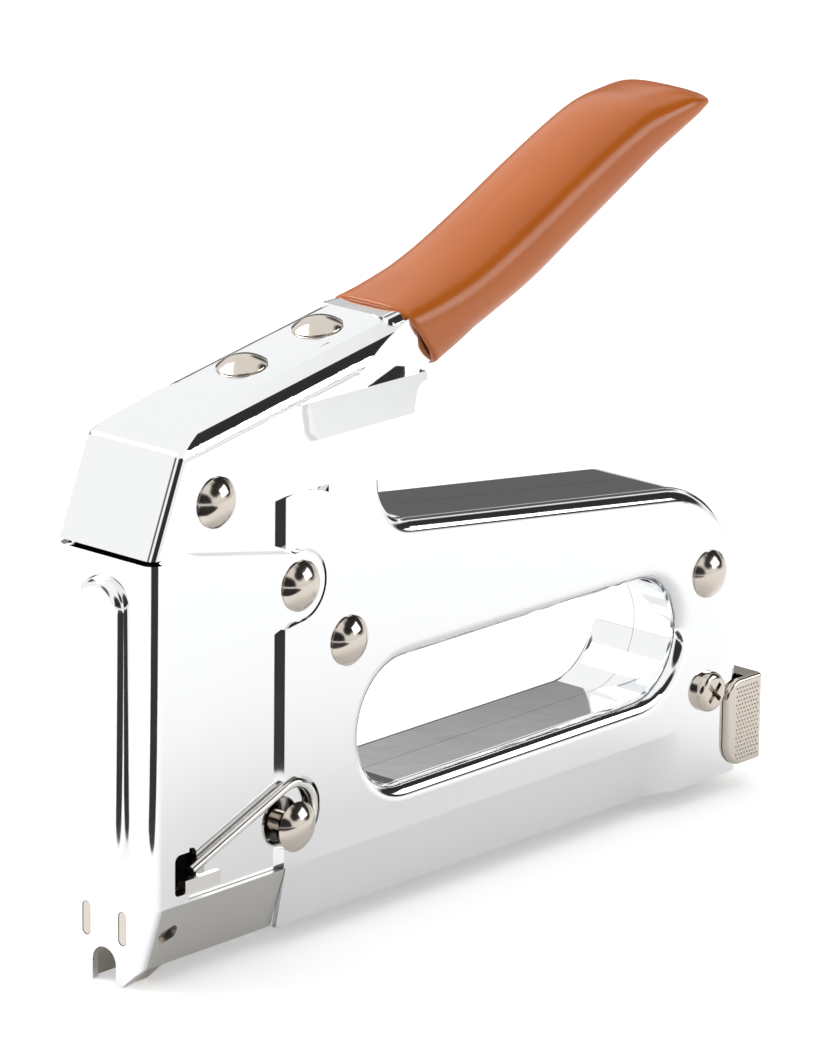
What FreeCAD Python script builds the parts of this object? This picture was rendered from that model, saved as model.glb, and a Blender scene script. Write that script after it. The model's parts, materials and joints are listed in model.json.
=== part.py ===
import FreeCAD, Part
import math
import os

from FreeCAD import Vector

# A hand staple gun for fixing low-voltage wire, standing upright on its nose and heel.
# Millimetres.  X runs from the nose (front) to the heel, Y across, Z up from the underside.
# Origin: centre of the wire notch at the nose's front face, level with the body's underside.

# ---- body: two pressed half shells -------------------------------------------------
BODY_WIDTH = 27.0          # over both shells
SHEET = 1.2                # shell and handle sheet
BEND = 3.4                 # outer radius of the shells' bent edges
SEAM = 0.05                # half of the gap between the two shells
HEEL_X = 184.6             # rear of the body at its underside
HEEL_LEAN = 2.0            # how far the heel leans forward at its top corner
BAR_TOP_FRONT = 80.7       # height of the grip bar's top line at the neck
BAR_TOP_REAR = 65.6        # height of that line at the heel
HEEL_RADIUS = 27.0
NECK_X = 67.6              # rear face of the neck
NECK_TOP = 92.5
SADDLE_RADIUS = 10.0
HOLE_X0 = 62.0             # hand hole, clear opening
HOLE_X1 = HEEL_X - 21.1
HOLE_Z0 = 22.8
HOLE_Z1 = 49.9
SKIRT_LINE = 13.5          # height where the lower walls start to lean inwards
LOWER_LEAN = 2.65          # how far they lean in at the underside
LEAN_END = HEEL_X - 29.6   # rear end of the leaning stretch
LEAN_RAMP = 8.0

# ---- front cover -------------------------------------------------------------------
COVER_SHEET = 1.5
COVER_TOP = 85.6
COVER_BEND = 2.6
NOSE_HALF = 9.25           # half width of the nose at the underside
PRONG_HALF = 4.9           # half width over the prongs at their tips
PRONG_DROP = 4.25          # how far the prongs reach below the underside
NOTCH_RADIUS = 3.3         # wire notch, its arc centred on the origin
EAR_RADIUS = 7.2
EDGE_X = 10.6              # rear edge of the cover's lower sides
BEAD_HALF = 6.5
BEAD_PROUD = 2.4
BEAD_Z0 = 22.8
BEAD_Z1 = 81.6
BEAD_RAMP = 3.2
SLOT_Y = 5.05
SLOT_WIDTH = 2.2
SLOT_Z0 = 4.75
SLOT_Z1 = 11.95
TAB_CLEARANCE = 0.15
WINDOW_X0 = 6.5            # side windows for the strip keeper's ears
WINDOW_X1 = 14.2
WINDOW_Z0 = 15.4
WINDOW_Z1 = 24.1

# ---- recess in the front half of the shells, for the cover and the handle ----------
RECESS_X = 38.3
EAR_CLEARANCE = 0.6
SWEEP_CLEARANCE = 0.35

# ---- rivets and screw, places as (x, z) --------------------------------------------
PIVOT = (42.7, 72.8)
MID_RIVET = (57.4, 58.0)
FRONT_RIVET = (41.2, 22.1)
HEEL_INSET = 12.2          # rear rivet and heel screw, in from the heel
REAR_RIVET = (HEEL_X - HEEL_INSET, 47.2)
HEEL_SCREW = (HEEL_X - HEEL_INSET, 20.6)
HANDLE_RIVET = (18.1, 95.4)
HEAD_RADIUS = 5.3
HEAD_HEIGHT = 2.9
TOP_HEAD_HEIGHT = 2.3
SHANK_RADIUS = 2.4
PIVOT_RADIUS = 3.0
PIVOT_FIT = 0.05           # radial running clearance in the pivot bush
SCREW_HEAD_RADIUS = 4.5
SCREW_HEAD_HEIGHT = 2.4
NUT_FLATS = 8.0
NUT_HEIGHT = 4.0

# ---- handle ------------------------------------------------------------------------
SQUEEZE = 25.0             # degrees of handle travel
HANDLE_GAP = 0.3           # running gap between the front skirt and the recess
FLARE_GAP = 0.2            # running gap between the rear skirt and the full body
HANDLE_FOOT = 86.2         # lower edge of the handle's front panel
FOLD_X = 8.4               # fold between the front panel and the sloping panel
FOLD_Z = 107.0
CREST_X = 27.0             # where the sloping panel meets the ridge
CREST_Z = 114.6
RIDGE_SLOPE = 0.174
RIDGE_HALF = 7.0
CREASE_RADIUS = 5.0
RIDGE_RADIUS = 6.0
SHOULDER_DROP = 4.3        # from the ridge down to the crease over the skirts
BOX_DEPTH = 45.0
PANEL_RADIUS = 1.9
TAPER_X0 = 62.0            # the box narrows to the channel between these two
TAPER_X1 = 77.0
SKIRT_STEP_X = 20.0        # step in the skirt's lower edge behind the handle rivet
SKIRT_START = (38.6, 92.5) # lower edge of the skirt where the flare starts
FLARE = 1.6                # how far the rear skirt stands out from the front skirt
FLARE_START = 38.2
FLARE_ROOM = 42.0          # from here the skirt's inside clears the full body width
FLARE_END = 46.0
FLARE_Z0 = 103.0
FLARE_Z1 = 110.5
TOP_RIVETS_X = (39.5, 61.7)
CHANNEL_HALF = 10.4        # half width of the handle inside the grip
CHANNEL_ROUND = 2.4
CHANNEL_X0 = 72.0          # front end of the channel, inside the box
GRIP_WALL = 1.6

# ---- firing mechanism --------------------------------------------------------------
TIP_REACH = 38.7           # pivot to the centre of the lever's rounded tip
TIP_RADIUS = 2.2
TIP_CLEARANCE = 0.3
TONGUE_HALF = 4.0
CHEEK_Y0 = 3.5
CHEEK_THICK = 2.0
EYE_RADIUS = 7.5
BUSH_RADIUS = 5.0
SIDE_CLEARANCE = 0.2
BLADE_CLEARANCE = 0.2      # from the cover's sheet to the blade
BLADE_X = COVER_SHEET + BLADE_CLEARANCE
BLADE_THICK = 1.2
BLADE_HALF = 3.7
BLADE_BOTTOM = 4.0
BLADE_TOP = 55.0
BLADE_RIVETS = (34.0, 50.0)  # heights
BLADE_RIVET_RADIUS = 1.5
PLATE_THICK = 2.5
PLATE_HALF = 8.5
PLATE_TOP = 70.0
SHELF_Z = 23.0
SHELF_THICK = 3.0
SHELF_X1 = 24.0
POST_RADIUS = 4.4
POST_LENGTH = 5.5
STOP_Z = 57.5
STOP_THICK = 2.5
SPRING_X = 15.0
SPRING_RADIUS = 7.2        # to the centre of the wire
SPRING_WIRE = 2.4
SPRING_TURNS = 5.0
RETURN_RADIUS = 6.2
RETURN_WIRE = 1.0
RETURN_TURNS = 3.0

# ---- magazine ----------------------------------------------------------------------
STAPLE_WIRE = 1.2
STAPLE_HALF = 3.6          # half of the crown, outside
STAPLE_LEG = 9.5
STAPLE_BEND = 1.3          # to the centre of the wire
STAPLE_PITCH = 1.25
STAPLE_COUNT = 24
CROWN_Z = 14.95            # centre of the crown wire
TRACK_HALF = 3.95          # inside of the magazine channel
TRACK_SHEET = 1.0
TRACK_TOP = 15.8
TRACK_BOTTOM = 3.8
TRACK_X0 = 7.8
TRACK_X1 = HEEL_X - 2.6
RAIL_X0 = 8.8
RAIL_HALF = 2.1
RAIL_Z0 = 4.4
RAIL_TOP = 14.0
RAIL_WALL = 0.8
RAIL_FIT = 0.1
SPACER_RADIUS = 3.7
FOLLOWER_LENGTH = 12.0
FOLLOWER_BOTTOM = 3.0
PUSHER_RADIUS = 0.9
PUSHER_WIRE = 0.35
PUSHER_PITCH = 3.0
LATCH_X0 = HEEL_X - 6.5
LATCH_X1 = HEEL_X + 5.6
LATCH_Z0 = 1.4
LATCH_Z1 = 21.2
LATCH_SHEET = 1.2
LATCH_GAP = 0.15

# ---- strip keeper and its wire springs ---------------------------------------------
KEEPER_X0 = 8.2
KEEPER_X1 = 13.2
KEEPER_THICK = 1.9
KEEPER_TAB_X1 = 18.5
KEEPER_TAB = 1.1
WIRE_RADIUS = 1.0
COIL_RADIUS = 6.2          # to the centre of the wire
KEEPER_FOOT_HALF = 2.0
COIL_SWEEP = 211.0         # degrees of wire round the front rivet

# ---- derived -----------------------------------------------------------------------
HALF = BODY_WIDTH / 2
RECESS = COVER_SHEET
RECESS_HALF = HALF - RECESS
INNER_HALF = RECESS_HALF - SHEET
FULL_INNER = HALF - SHEET
SKIRT_HALF = RECESS_HALF + HANDLE_GAP + SHEET
FLARE_HALF = SKIRT_HALF + FLARE
SHELL_X0 = COVER_BEND + 0.1
PLATE_X = BLADE_X + BLADE_THICK
SPRING_Z0 = SHELF_Z + SHELF_THICK
GUIDE_X1 = TRACK_X0 - 0.2
KEEPER_Z = TRACK_TOP + TRACK_SHEET + 0.1
STRIP_X0 = PLATE_X + 0.2 + STAPLE_WIRE / 2
FOLLOWER_X0 = STRIP_X0 + STAPLE_PITCH * STAPLE_COUNT - STAPLE_PITCH + STAPLE_WIRE / 2 + 0.1
COIL_CENTRE = (FRONT_RIVET[0], FRONT_RIVET[1] - SHANK_RADIUS + COIL_RADIUS - WIRE_RADIUS)
WIRE_Y = RECESS_HALF + WIRE_RADIUS + 0.05
FRONT_HEAD_Y = WIRE_Y + WIRE_RADIUS + 0.1
FAR = 260.0
LEFT = -1
RIGHT = 1


# ---- helpers -----------------------------------------------------------------------

def box(x0, x1, y0, y1, z0, z1):
    return Part.makeBox(x1 - x0, y1 - y0, z1 - z0, Vector(x0, y0, z0))


def rod_y(centre, radius, y0, y1):
    return Part.makeCylinder(radius, y1 - y0, Vector(centre[0], y0, centre[1]), Vector(0, 1, 0))


def rod_x(y, z, radius, x0, x1):
    return Part.makeCylinder(radius, x1 - x0, Vector(x0, y, z), Vector(1, 0, 0))


def rounded_wire(corners):
    """Closed wire in the XZ plane through (x, z) or (x, z, radius) corners."""
    stops = []
    for i, corner in enumerate(corners):
        here = Vector(corner[0], 0, corner[1])
        if len(corner) == 2:
            stops.append((here, None, here))
            continue
        radius = corner[2]
        before = corners[i - 1]
        after = corners[(i + 1) % len(corners)]
        to_before = (Vector(before[0], 0, before[1]) - here).normalize()
        to_after = (Vector(after[0], 0, after[1]) - here).normalize()
        half = to_before.getAngle(to_after) / 2
        inward = (to_before + to_after).normalize()
        reach = radius / math.tan(half)
        centre = here + inward * (radius / math.sin(half))
        stops.append((here + to_before * reach, centre - inward * radius, here + to_after * reach))
    edges = []
    for i, (start, via, end) in enumerate(stops):
        leave = stops[i - 1][2]
        if leave.distanceToPoint(start) > 1e-6:
            edges.append(Part.makeLine(leave, start))
        if via is not None:
            edges.append(Part.Arc(start, via, end).toShape())
    return Part.Wire(edges)


def slab(wire, y0, y1):
    """Prism of a wire in the XZ plane, from y0 to y1."""
    face = Part.Face(wire)
    face.translate(Vector(0, y0, 0))
    return face.extrude(Vector(0, y1 - y0, 0))


def plate_yz(points, x0, x1):
    """Prism of a (y, z) polygon, from x0 to x1."""
    ring = [Vector(x0, y, z) for y, z in points]
    face = Part.Face(Part.makePolygon(ring + ring[:1]))
    return face.extrude(Vector(x1 - x0, 0, 0))


def loft(rings):
    """Ruled solid through closed rings of points."""
    wires = [Part.makePolygon(ring + ring[:1]) for ring in rings]
    return Part.makeLoft(wires, True, True)


def fillet_where(shape, radius, wanted):
    return shape.makeFillet(radius, [edge for edge in shape.Edges if wanted(edge)])


def on_plane(edge, axis, value):
    return all(abs(getattr(vertex.Point, axis) - value) < 1e-4 for vertex in edge.Vertexes)


def fused(shapes):
    return shapes[0].multiFuse(shapes[1:]).removeSplitter()


def mirrored(shape):
    return shape.mirror(Vector(0, 0, 0), Vector(0, 1, 0))


def both_sides(shape):
    return [shape, mirrored(shape)]


def squeezed(point, degrees):
    """Where an (x, z) point of the handle stands after a squeeze about the pivot."""
    angle = math.radians(degrees)
    dx = point[0] - PIVOT[0]
    dz = point[1] - PIVOT[1]
    x = PIVOT[0] + dx * math.cos(angle) + dz * math.sin(angle)
    z = PIVOT[1] - dx * math.sin(angle) + dz * math.cos(angle)
    return (x, z)


def head(radius, height):
    """Domed rivet head standing on the XY plane."""
    ball = (radius * radius + height * height) / (2 * height)
    side = Vector(radius * 0.7, 0, height - ball + math.sqrt(ball * ball - 0.49 * radius * radius))
    rim = Vector(radius, 0, 0)
    top = Vector(0, 0, height)
    base = Vector(0, 0, 0)
    outline = [Part.makeLine(base, rim), Part.Arc(rim, side, top).toShape(), Part.makeLine(top, base)]
    return Part.Face(Part.Wire(outline)).revolve(base, Vector(0, 0, 1), 360)


def placed(shape, centre, y, side):
    """Turn a piece that stands on the XY plane so that it stands on a side wall."""
    piece = shape.copy()
    piece.rotate(Vector(0, 0, 0), Vector(1, 0, 0), -90 * side)
    piece.translate(Vector(centre[0], y * side, centre[1]))
    return piece


def rivet(centre, shank, seat):
    """Domed rivet through the tool, its two heads seated at y = +-seat."""
    dome = head(HEAD_RADIUS, HEAD_HEIGHT)
    parts = [rod_y(centre, shank, -seat - 0.2, seat + 0.2)]
    parts += [placed(dome, centre, seat, side) for side in (LEFT, RIGHT)]
    return fused(parts)


def coil(radius, wire, pitch, length):
    """Coil spring along Z from the origin."""
    helix = Part.makeHelix(pitch, length, radius)
    ring = Part.Wire(Part.makeCircle(wire / 2, Vector(radius, 0, 0), Vector(0, 1, 0)))
    return Part.Wire(helix.Edges).makePipeShell([ring], True, True)


# ---- shells ------------------------------------------------------------------------

def body_outline():
    return rounded_wire([
        (-30, -30),
        (HEEL_X + 0.8, -30),
        (HEEL_X - HEEL_LEAN, BAR_TOP_REAR, HEEL_RADIUS),
        (NECK_X, BAR_TOP_FRONT, SADDLE_RADIUS),
        (NECK_X, 140),
        (-30, 140),
    ])


def hand_hole():
    end = (HOLE_Z1 - HOLE_Z0) / 2 - 0.01
    return rounded_wire([
        (HOLE_X0, HOLE_Z0, end),
        (HOLE_X1, HOLE_Z0, end),
        (HOLE_X1, HOLE_Z1, end),
        (HOLE_X0, HOLE_Z1, end),
    ])


def recess_region(inset):
    """The set-in stretch of the left side wall, grown by inset."""
    y0 = -HALF - 1
    y1 = -RECESS_HALF + inset
    start_radius = math.hypot(SKIRT_START[0] - PIVOT[0], SKIRT_START[1] - PIVOT[1])
    sweep = start_radius - SWEEP_CLEARANCE - inset
    rear = squeezed((FLARE_ROOM, SKIRT_START[1]), SQUEEZE)[0] + 0.5 + inset
    above = box(RECESS_X - 1, rear, y0, y1, PIVOT[1] + 10, 150)
    above = above.cut(rod_y(PIVOT, sweep, y0 - 1, y1 + 1))
    ear = EAR_RADIUS + EAR_CLEARANCE + inset
    ear_root = slab(rounded_wire([
        (RECESS_X - 2, PIVOT[1] - ear - 0.9),
        (PIVOT[0], PIVOT[1] - ear),
        (PIVOT[0], PIVOT[1] + ear),
        (RECESS_X - 2, PIVOT[1] + ear + 1.2),
    ]), y0, y1)
    return fused([
        box(-40, RECESS_X + inset, y0, y1, -40, 150),
        rod_y(PIVOT, ear, y0, y1),
        ear_root,
        rod_y(COIL_CENTRE, COIL_RADIUS + WIRE_RADIUS + EAR_CLEARANCE + inset, y0, y1),
        above,
    ])


def lean_region(inset):
    """What the leaning lower wall leaves out on the left."""
    drop = SKIRT_LINE + 5.0
    slope = LOWER_LEAN / SKIRT_LINE

    def ring(x, share):
        return [
            Vector(x, -HALF - 3, SKIRT_LINE),
            Vector(x, -HALF + inset, SKIRT_LINE),
            Vector(x, -HALF + inset + slope * drop * share, SKIRT_LINE - drop),
            Vector(x, -HALF - 3, SKIRT_LINE - drop),
        ]

    return loft([ring(-40, 1.0), ring(LEAN_END, 1.0), ring(LEAN_END + LEAN_RAMP, 0.001)])


def shell_form(inset, inner_y):
    """The left half of the body as a block, inset from its outer surface."""
    outline = body_outline()
    hole = hand_hole()
    if inset > 0:
        outline = outline.makeOffset2D(-inset)
        hole = hole.makeOffset2D(inset)
    side = -HALF + inset
    block = slab(outline, side, inner_y).cut(slab(hole, side - 1, inner_y + 1))
    block = fillet_where(block, BEND - inset, lambda edge: on_plane(edge, "y", side))
    return block.cut(recess_region(inset)).cut(lean_region(inset))


def shell_trim():
    return slab(rounded_wire([
        (RECESS_X + 0.5, 0),
        (FAR, 0),
        (FAR, NECK_TOP),
        (9.0, NECK_TOP),
        (SHELL_X0 + 1.5, COVER_TOP + 0.4),
        (SHELL_X0, COVER_TOP - 0.4),
        (SHELL_X0, SKIRT_LINE),
        (RECESS_X + 0.5, SKIRT_LINE),
    ]), -HALF - 2, 1).fuse(box(60, FAR, -HALF - 2, 1, 60, NECK_TOP))


def side_window():
    return slab(rounded_wire([
        (WINDOW_X0, WINDOW_Z0, 1.0),
        (WINDOW_X1, WINDOW_Z0, 1.0),
        (WINDOW_X1, WINDOW_Z1, 1.5),
        (WINDOW_X0, WINDOW_Z1, 1.5),
    ]), -20, -5)


def left_shell():
    shell = shell_form(0.0, -SEAM).cut(shell_form(SHEET, 5.0))
    shell = shell.common(shell_trim())
    shell = shell.cut(rod_y(PIVOT, PIVOT_RADIUS, -20, 0))
    for centre in (MID_RIVET, FRONT_RIVET, REAR_RIVET, HEEL_SCREW):
        shell = shell.cut(rod_y(centre, SHANK_RADIUS, -20, -5))
    door = TRACK_HALF + TRACK_SHEET + LATCH_GAP
    doorway = box(HEEL_X - 8, FAR, -door, 1, -1, TRACK_TOP + TRACK_SHEET + LATCH_GAP)
    return shell.cut(side_window()).cut(doorway)


# ---- front cover, nose housing and nose guide --------------------------------------

def cover_form(inset):
    """The cover as a block, inset from its outer surface and open at its ends."""
    over = 20 if inset else 0
    slope = (HALF - NOSE_HALF) / SKIRT_LINE
    right = [
        (HALF - inset, COVER_TOP + over),
        (HALF - inset, SKIRT_LINE),
        (NOSE_HALF - inset, 0.0),
        (PRONG_HALF - inset * slope, -PRONG_DROP),
    ]
    if inset:
        right.append((PRONG_HALF - inset, -PRONG_DROP - over))
    left = [(-y, z) for y, z in reversed(right)]
    block = plate_yz(right + left, inset, 70.0)

    def is_side(edge):
        middle = edge.CenterOfMass
        return on_plane(edge, "x", inset) and abs(middle.y) > NOSE_HALF - inset and middle.z > 0

    return fillet_where(block, COVER_BEND - inset, is_side)


def bar_on_front(half, z0, z1, x0, x1, top_radius, foot_radius):
    """Upright bar in front view, from x0 to x1."""
    flat = Part.Face(rounded_wire([
        (-half, z0, foot_radius),
        (half, z0, foot_radius),
        (half, z1, top_radius),
        (-half, z1, top_radius),
    ]))
    flat.rotate(Vector(0, 0, 0), Vector(0, 0, 1), 90)
    flat.translate(Vector(x0, 0, 0))
    return flat.extrude(Vector(x1 - x0, 0, 0))


def bead(inset):
    front = inset - BEAD_PROUD
    half = BEAD_HALF - inset
    bar = bar_on_front(half, BEAD_Z0 + inset, BEAD_Z1 - inset, front, 5.0, half - 0.01, 2.6)
    bar = fillet_where(bar, (BEAD_PROUD - 0.1) * half / BEAD_HALF, lambda edge: on_plane(edge, "x", front))
    ramp = slab(rounded_wire([
        (front - 5, BEAD_Z0 - 5),
        (inset, BEAD_Z0 - 5),
        (inset, BEAD_Z0 + inset),
        (front, BEAD_Z0 + inset + BEAD_RAMP),
        (front - 5, BEAD_Z0 + inset + BEAD_RAMP),
    ]), -20, 20)
    return bar.cut(ramp)


def front_slot(side, clearance):
    half = SLOT_WIDTH / 2 - clearance
    slot = bar_on_front(half, SLOT_Z0 + clearance, SLOT_Z1 - clearance, -5, 5, half - 0.01, half - 0.01)
    slot.translate(Vector(0, side * SLOT_Y, 0))
    return slot


def wire_notch(x0, x1):
    round_top = rod_x(0, 0, NOTCH_RADIUS, x0, x1)
    return round_top.fuse(box(x0, x1, -NOTCH_RADIUS, NOTCH_RADIUS, -30, 0))


def front_cover():
    cover = cover_form(0.0).fuse(bead(0.0))
    cover = cover.cut(cover_form(COVER_SHEET)).cut(bead(COVER_SHEET))
    side = slab(rounded_wire([
        (-5, COVER_TOP + 1),
        (12.0, COVER_TOP + 1),
        (12.0, COVER_TOP),
        (PIVOT[0] - 1.6, PIVOT[1] + EAR_RADIUS - 0.15),
        (PIVOT[0], PIVOT[1]),
        (PIVOT[0] - 2.4, PIVOT[1] - EAR_RADIUS + 0.4),
        (26.0, 61.0, 26),
        (13.0, 47.0, 26),
        (EDGE_X, 30.0, 30),
        (EDGE_X, SKIRT_LINE, 1.5),
        (COVER_BEND + 0.2, SKIRT_LINE),
        (COVER_BEND + 0.2, -10),
        (-5, -10),
    ]), -20, 20)
    cover = cover.common(side.fuse(rod_y(PIVOT, EAR_RADIUS, -20, 20)))
    cover = cover.cut(rod_y(PIVOT, PIVOT_RADIUS, -20, 20))
    cover = cover.cut(wire_notch(-10, 20))
    for side in (LEFT, RIGHT):
        cover = cover.cut(front_slot(side, 0.0))
    return cover.cut(side_window()).cut(mirrored(side_window()))


def nose_housing():
    """Satin lower nose: two leaning walls joined by a strap over the magazine."""
    front = COVER_BEND + 0.25
    rear = RECESS_X + 0.4
    top = SKIRT_LINE - 0.1
    lip = WINDOW_Z0 - 0.3
    lip_y = INNER_HALF - 0.05
    strap_z = TRACK_TOP + TRACK_SHEET + 0.2
    wall = plate_yz([
        (-NOSE_HALF, 0.0),
        (-NOSE_HALF + SHEET, 0.0),
        (-lip_y + 1.0, top - 2.5),
        (-lip_y + 1.0, lip),
        (-lip_y, lip),
        (-lip_y, top),
        (-HALF + 0.1, top),
    ], front, rear)
    wall = wall.cut(slab(rounded_wire([
        (3.9, 4.8, 1.3),
        (9.0, 6.3, 1.3),
        (9.0, 9.3, 1.3),
        (3.9, 7.8, 1.3),
    ]), -20, -3))
    upright = box(28, 34, -lip_y, -lip_y + 1.0, lip - 1, strap_z + 1)
    strap = box(28, 34, -lip_y, lip_y, strap_z, strap_z + 1)
    walls = both_sides(wall.fuse(upright))
    return fused([strap] + walls)


def nose_wall_y(z):
    """Inside of the housing's leaning wall at a height."""
    foot = NOSE_HALF - SHEET
    top = INNER_HALF - 1.05
    return foot + (top - foot) * z / (SKIRT_LINE - 2.6)


def nose_guide():
    """Nickelled guide behind the notch: two cheeks and a bridge round the staple track."""
    inset = 0.25
    cheek_x = COVER_SHEET + 0.05
    wall_room = SHEET + 0.2
    lower = plate_yz([
        (BLADE_HALF + 0.25, 0.0),
        (NOSE_HALF - inset, 0.0),
        (PRONG_HALF - inset, -PRONG_DROP + 0.15),
        (BLADE_HALF + 0.25, -PRONG_DROP + 0.15),
    ], cheek_x, GUIDE_X1)
    upper = plate_yz([
        (BLADE_HALF + 0.25, -0.1),
        (NOSE_HALF - wall_room, -0.1),
        (nose_wall_y(SKIRT_LINE - 4.5) - 0.05, SKIRT_LINE - 4.5),
        (INNER_HALF - 1.4, 19.0),
        (BLADE_HALF + 0.25, 19.0),
    ], cheek_x, GUIDE_X1)
    wrap = cover_form(0.0).cut(cover_form(COVER_SHEET + 0.05))
    wrap = wrap.common(box(0, COVER_BEND + 0.3, 0, 20, -20, 40))
    cheek = fused([lower, upper]).cut(wrap)
    bridge = box(PLATE_X + 0.2, GUIDE_X1, -BLADE_HALF - 1, BLADE_HALF + 1, CROWN_Z + STAPLE_WIRE, 19.0)
    tabs = [front_slot(side, TAB_CLEARANCE).common(box(0.1, cheek_x + 0.5, -20, 20, 0, 30))
            for side in (LEFT, RIGHT)]
    guide = fused([bridge, cheek, mirrored(cheek)] + tabs)
    return guide.cut(wire_notch(-10, PLATE_X + 0.1))


# ---- rivets, screw, nut and spacers ------------------------------------------------

def body_rivets():
    seats = ((MID_RIVET, HALF), (FRONT_RIVET, FRONT_HEAD_Y), (REAR_RIVET, HALF))
    return [rivet(centre, SHANK_RADIUS, seat) for centre, seat in seats]


def heel_screw():
    """Cross-recessed pan head on the left, shank through to the nut."""
    pan = Part.makeCylinder(SCREW_HEAD_RADIUS, SCREW_HEAD_HEIGHT)
    pan = fillet_where(pan, 1.7, lambda edge: on_plane(edge, "z", SCREW_HEAD_HEIGHT))
    for turn in (0, 90):
        blade = box(-2.6, 2.6, -0.55, 0.55, SCREW_HEAD_HEIGHT - 1.5, SCREW_HEAD_HEIGHT + 1)
        blade.rotate(Vector(0, 0, 0), Vector(0, 0, 1), 45 + turn)
        pan = pan.cut(blade)
    shank = rod_y(HEEL_SCREW, SHANK_RADIUS, -HALF - 0.2, HALF + NUT_HEIGHT + 0.8)
    return fused([placed(pan, HEEL_SCREW, HALF, LEFT), shank])


def heel_nut():
    corner = NUT_FLATS / 2 / math.cos(math.pi / 6)
    ring = [Vector(corner * math.cos(math.radians(60 * i)), corner * math.sin(math.radians(60 * i)), 0)
            for i in range(6)]
    nut = Part.Face(Part.makePolygon(ring + ring[:1])).extrude(Vector(0, 0, NUT_HEIGHT))
    nut = placed(nut, HEEL_SCREW, HALF, RIGHT)
    return nut.cut(rod_y(HEEL_SCREW, SHANK_RADIUS, 0, 40))


def tube(centre, outer, bore, y0, y1):
    return rod_y(centre, outer, y0, y1).cut(rod_y(centre, bore, y0 - 1, y1 + 1))


def spacers(centre, outer, y0, y1):
    return both_sides(tube(centre, outer, SHANK_RADIUS, y0, y1))


# ---- handle, lever and grip --------------------------------------------------------

def ridge_z(x):
    return CREST_Z + RIDGE_SLOPE * (x - CREST_X)


def box_profile():
    """Cross-section of the handle's box, its ridge at height 0."""
    return rounded_wire([
        (-SKIRT_HALF, -BOX_DEPTH),
        (-SKIRT_HALF, -SHOULDER_DROP, CREASE_RADIUS),
        (-RIDGE_HALF, 0, RIDGE_RADIUS),
        (RIDGE_HALF, 0, RIDGE_RADIUS),
        (SKIRT_HALF, -SHOULDER_DROP, CREASE_RADIUS),
        (SKIRT_HALF, -BOX_DEPTH),
    ])


def box_side():
    """Side view of the handle's box: front panel, sloping panel and ridge."""
    lean = FOLD_X / (FOLD_Z - HANDLE_FOOT)
    low = HANDLE_FOOT - 10
    return rounded_wire([
        (-lean * 10, low),
        (FOLD_X, FOLD_Z, 1.6),
        (CREST_X, CREST_Z, 12),
        (95, ridge_z(95)),
        (95, low),
    ])


def box_plan():
    """Plan of the handle's box, as (x, y)."""
    return rounded_wire([
        (-20, -SKIRT_HALF),
        (TAPER_X0, -SKIRT_HALF, 30),
        (TAPER_X1, -CHANNEL_HALF, 30),
        (120, -CHANNEL_HALF),
        (120, CHANNEL_HALF),
        (TAPER_X1, CHANNEL_HALF, 30),
        (TAPER_X0, SKIRT_HALF, 30),
        (-20, SKIRT_HALF),
    ])


def inset_wire(wire, inset):
    return wire.makeOffset2D(-inset) if inset else wire


def box_form(inset):
    """The wide front of the handle as a block, inset from its outer surface."""
    profile = Part.Face(inset_wire(box_profile(), inset))
    profile.rotate(Vector(0, 0, 0), Vector(0, 0, 1), 90)
    profile.translate(Vector(-20, 0, ridge_z(-20)))
    bar = profile.extrude(Vector(140, 0, 140 * RIDGE_SLOPE))
    half = SKIRT_HALF - inset
    side = slab(inset_wire(box_side(), inset), -half, half)

    def is_panel_edge(edge):
        middle = edge.CenterOfMass
        return abs(abs(middle.y) - half) < 1e-4 and middle.x < FOLD_X and middle.z < FOLD_Z - 3

    side = fillet_where(side, PANEL_RADIUS - inset, is_panel_edge)
    plan = Part.Face(inset_wire(box_plan(), inset))
    plan.rotate(Vector(0, 0, 0), Vector(1, 0, 0), -90)
    plan.translate(Vector(0, 0, 60))
    return bar.common(side).common(plan.extrude(Vector(0, 0, 100)))


def flare_form(inset):
    """The rear skirt, which stands out to pass over the full width of the body."""
    if inset:
        start, end = FLARE_START, FLARE_ROOM
        base, out = SKIRT_HALF - inset, HALF + FLARE_GAP
    else:
        start, end = FLARE_START, FLARE_END
        base, out = SKIRT_HALF, FLARE_HALF
    top = FLARE_Z1 - inset

    def ring(z, wide, end_x):
        left = [Vector(start, -base, z), Vector(end_x, -wide, z), Vector(90, -wide, z)]
        return left + [Vector(v.x, -v.y, z) for v in reversed(left)]

    return loft([
        ring(80.0, out, end + (12.0 if not inset else 0.0)),
        ring(FLARE_Z0, out, end),
        ring(top, base + 0.01, end - 1.0),
    ])


def skirt_trim():
    """Side view of everything above the skirt's lower and rear edges."""
    return slab(rounded_wire([
        (-20, HANDLE_FOOT),
        (SKIRT_STEP_X - 2.4, HANDLE_FOOT + 0.8),
        (SKIRT_STEP_X, 90.1, 1.0),
        (SKIRT_START[0], SKIRT_START[1], 30),
        (54.0, 93.3, 25),
        (65.6, 90.6, 10),
        (73.2, 89.0, 3.0),
        (73.9, 101.0, 20),
        (76.8, 108.0, 4),
        (95.0, 113.2),
        (95.0, 160),
        (-20, 160),
    ]), -30, 30)


def channel_outline():
    """Side view of the bent channel inside the grip."""
    return rounded_wire([
        (CHANNEL_X0, ridge_z(CHANNEL_X0)),
        (97.0, 126.8, 60),
        (147.2, 151.8, 60),
        (165.5, 153.5, 8),
        (172.6, 151.2, 2.6),
        (167.8, 147.7, 4),
        (112.3, 119.0, 90),
        (CHANNEL_X0, 108.0),
    ])


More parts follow.
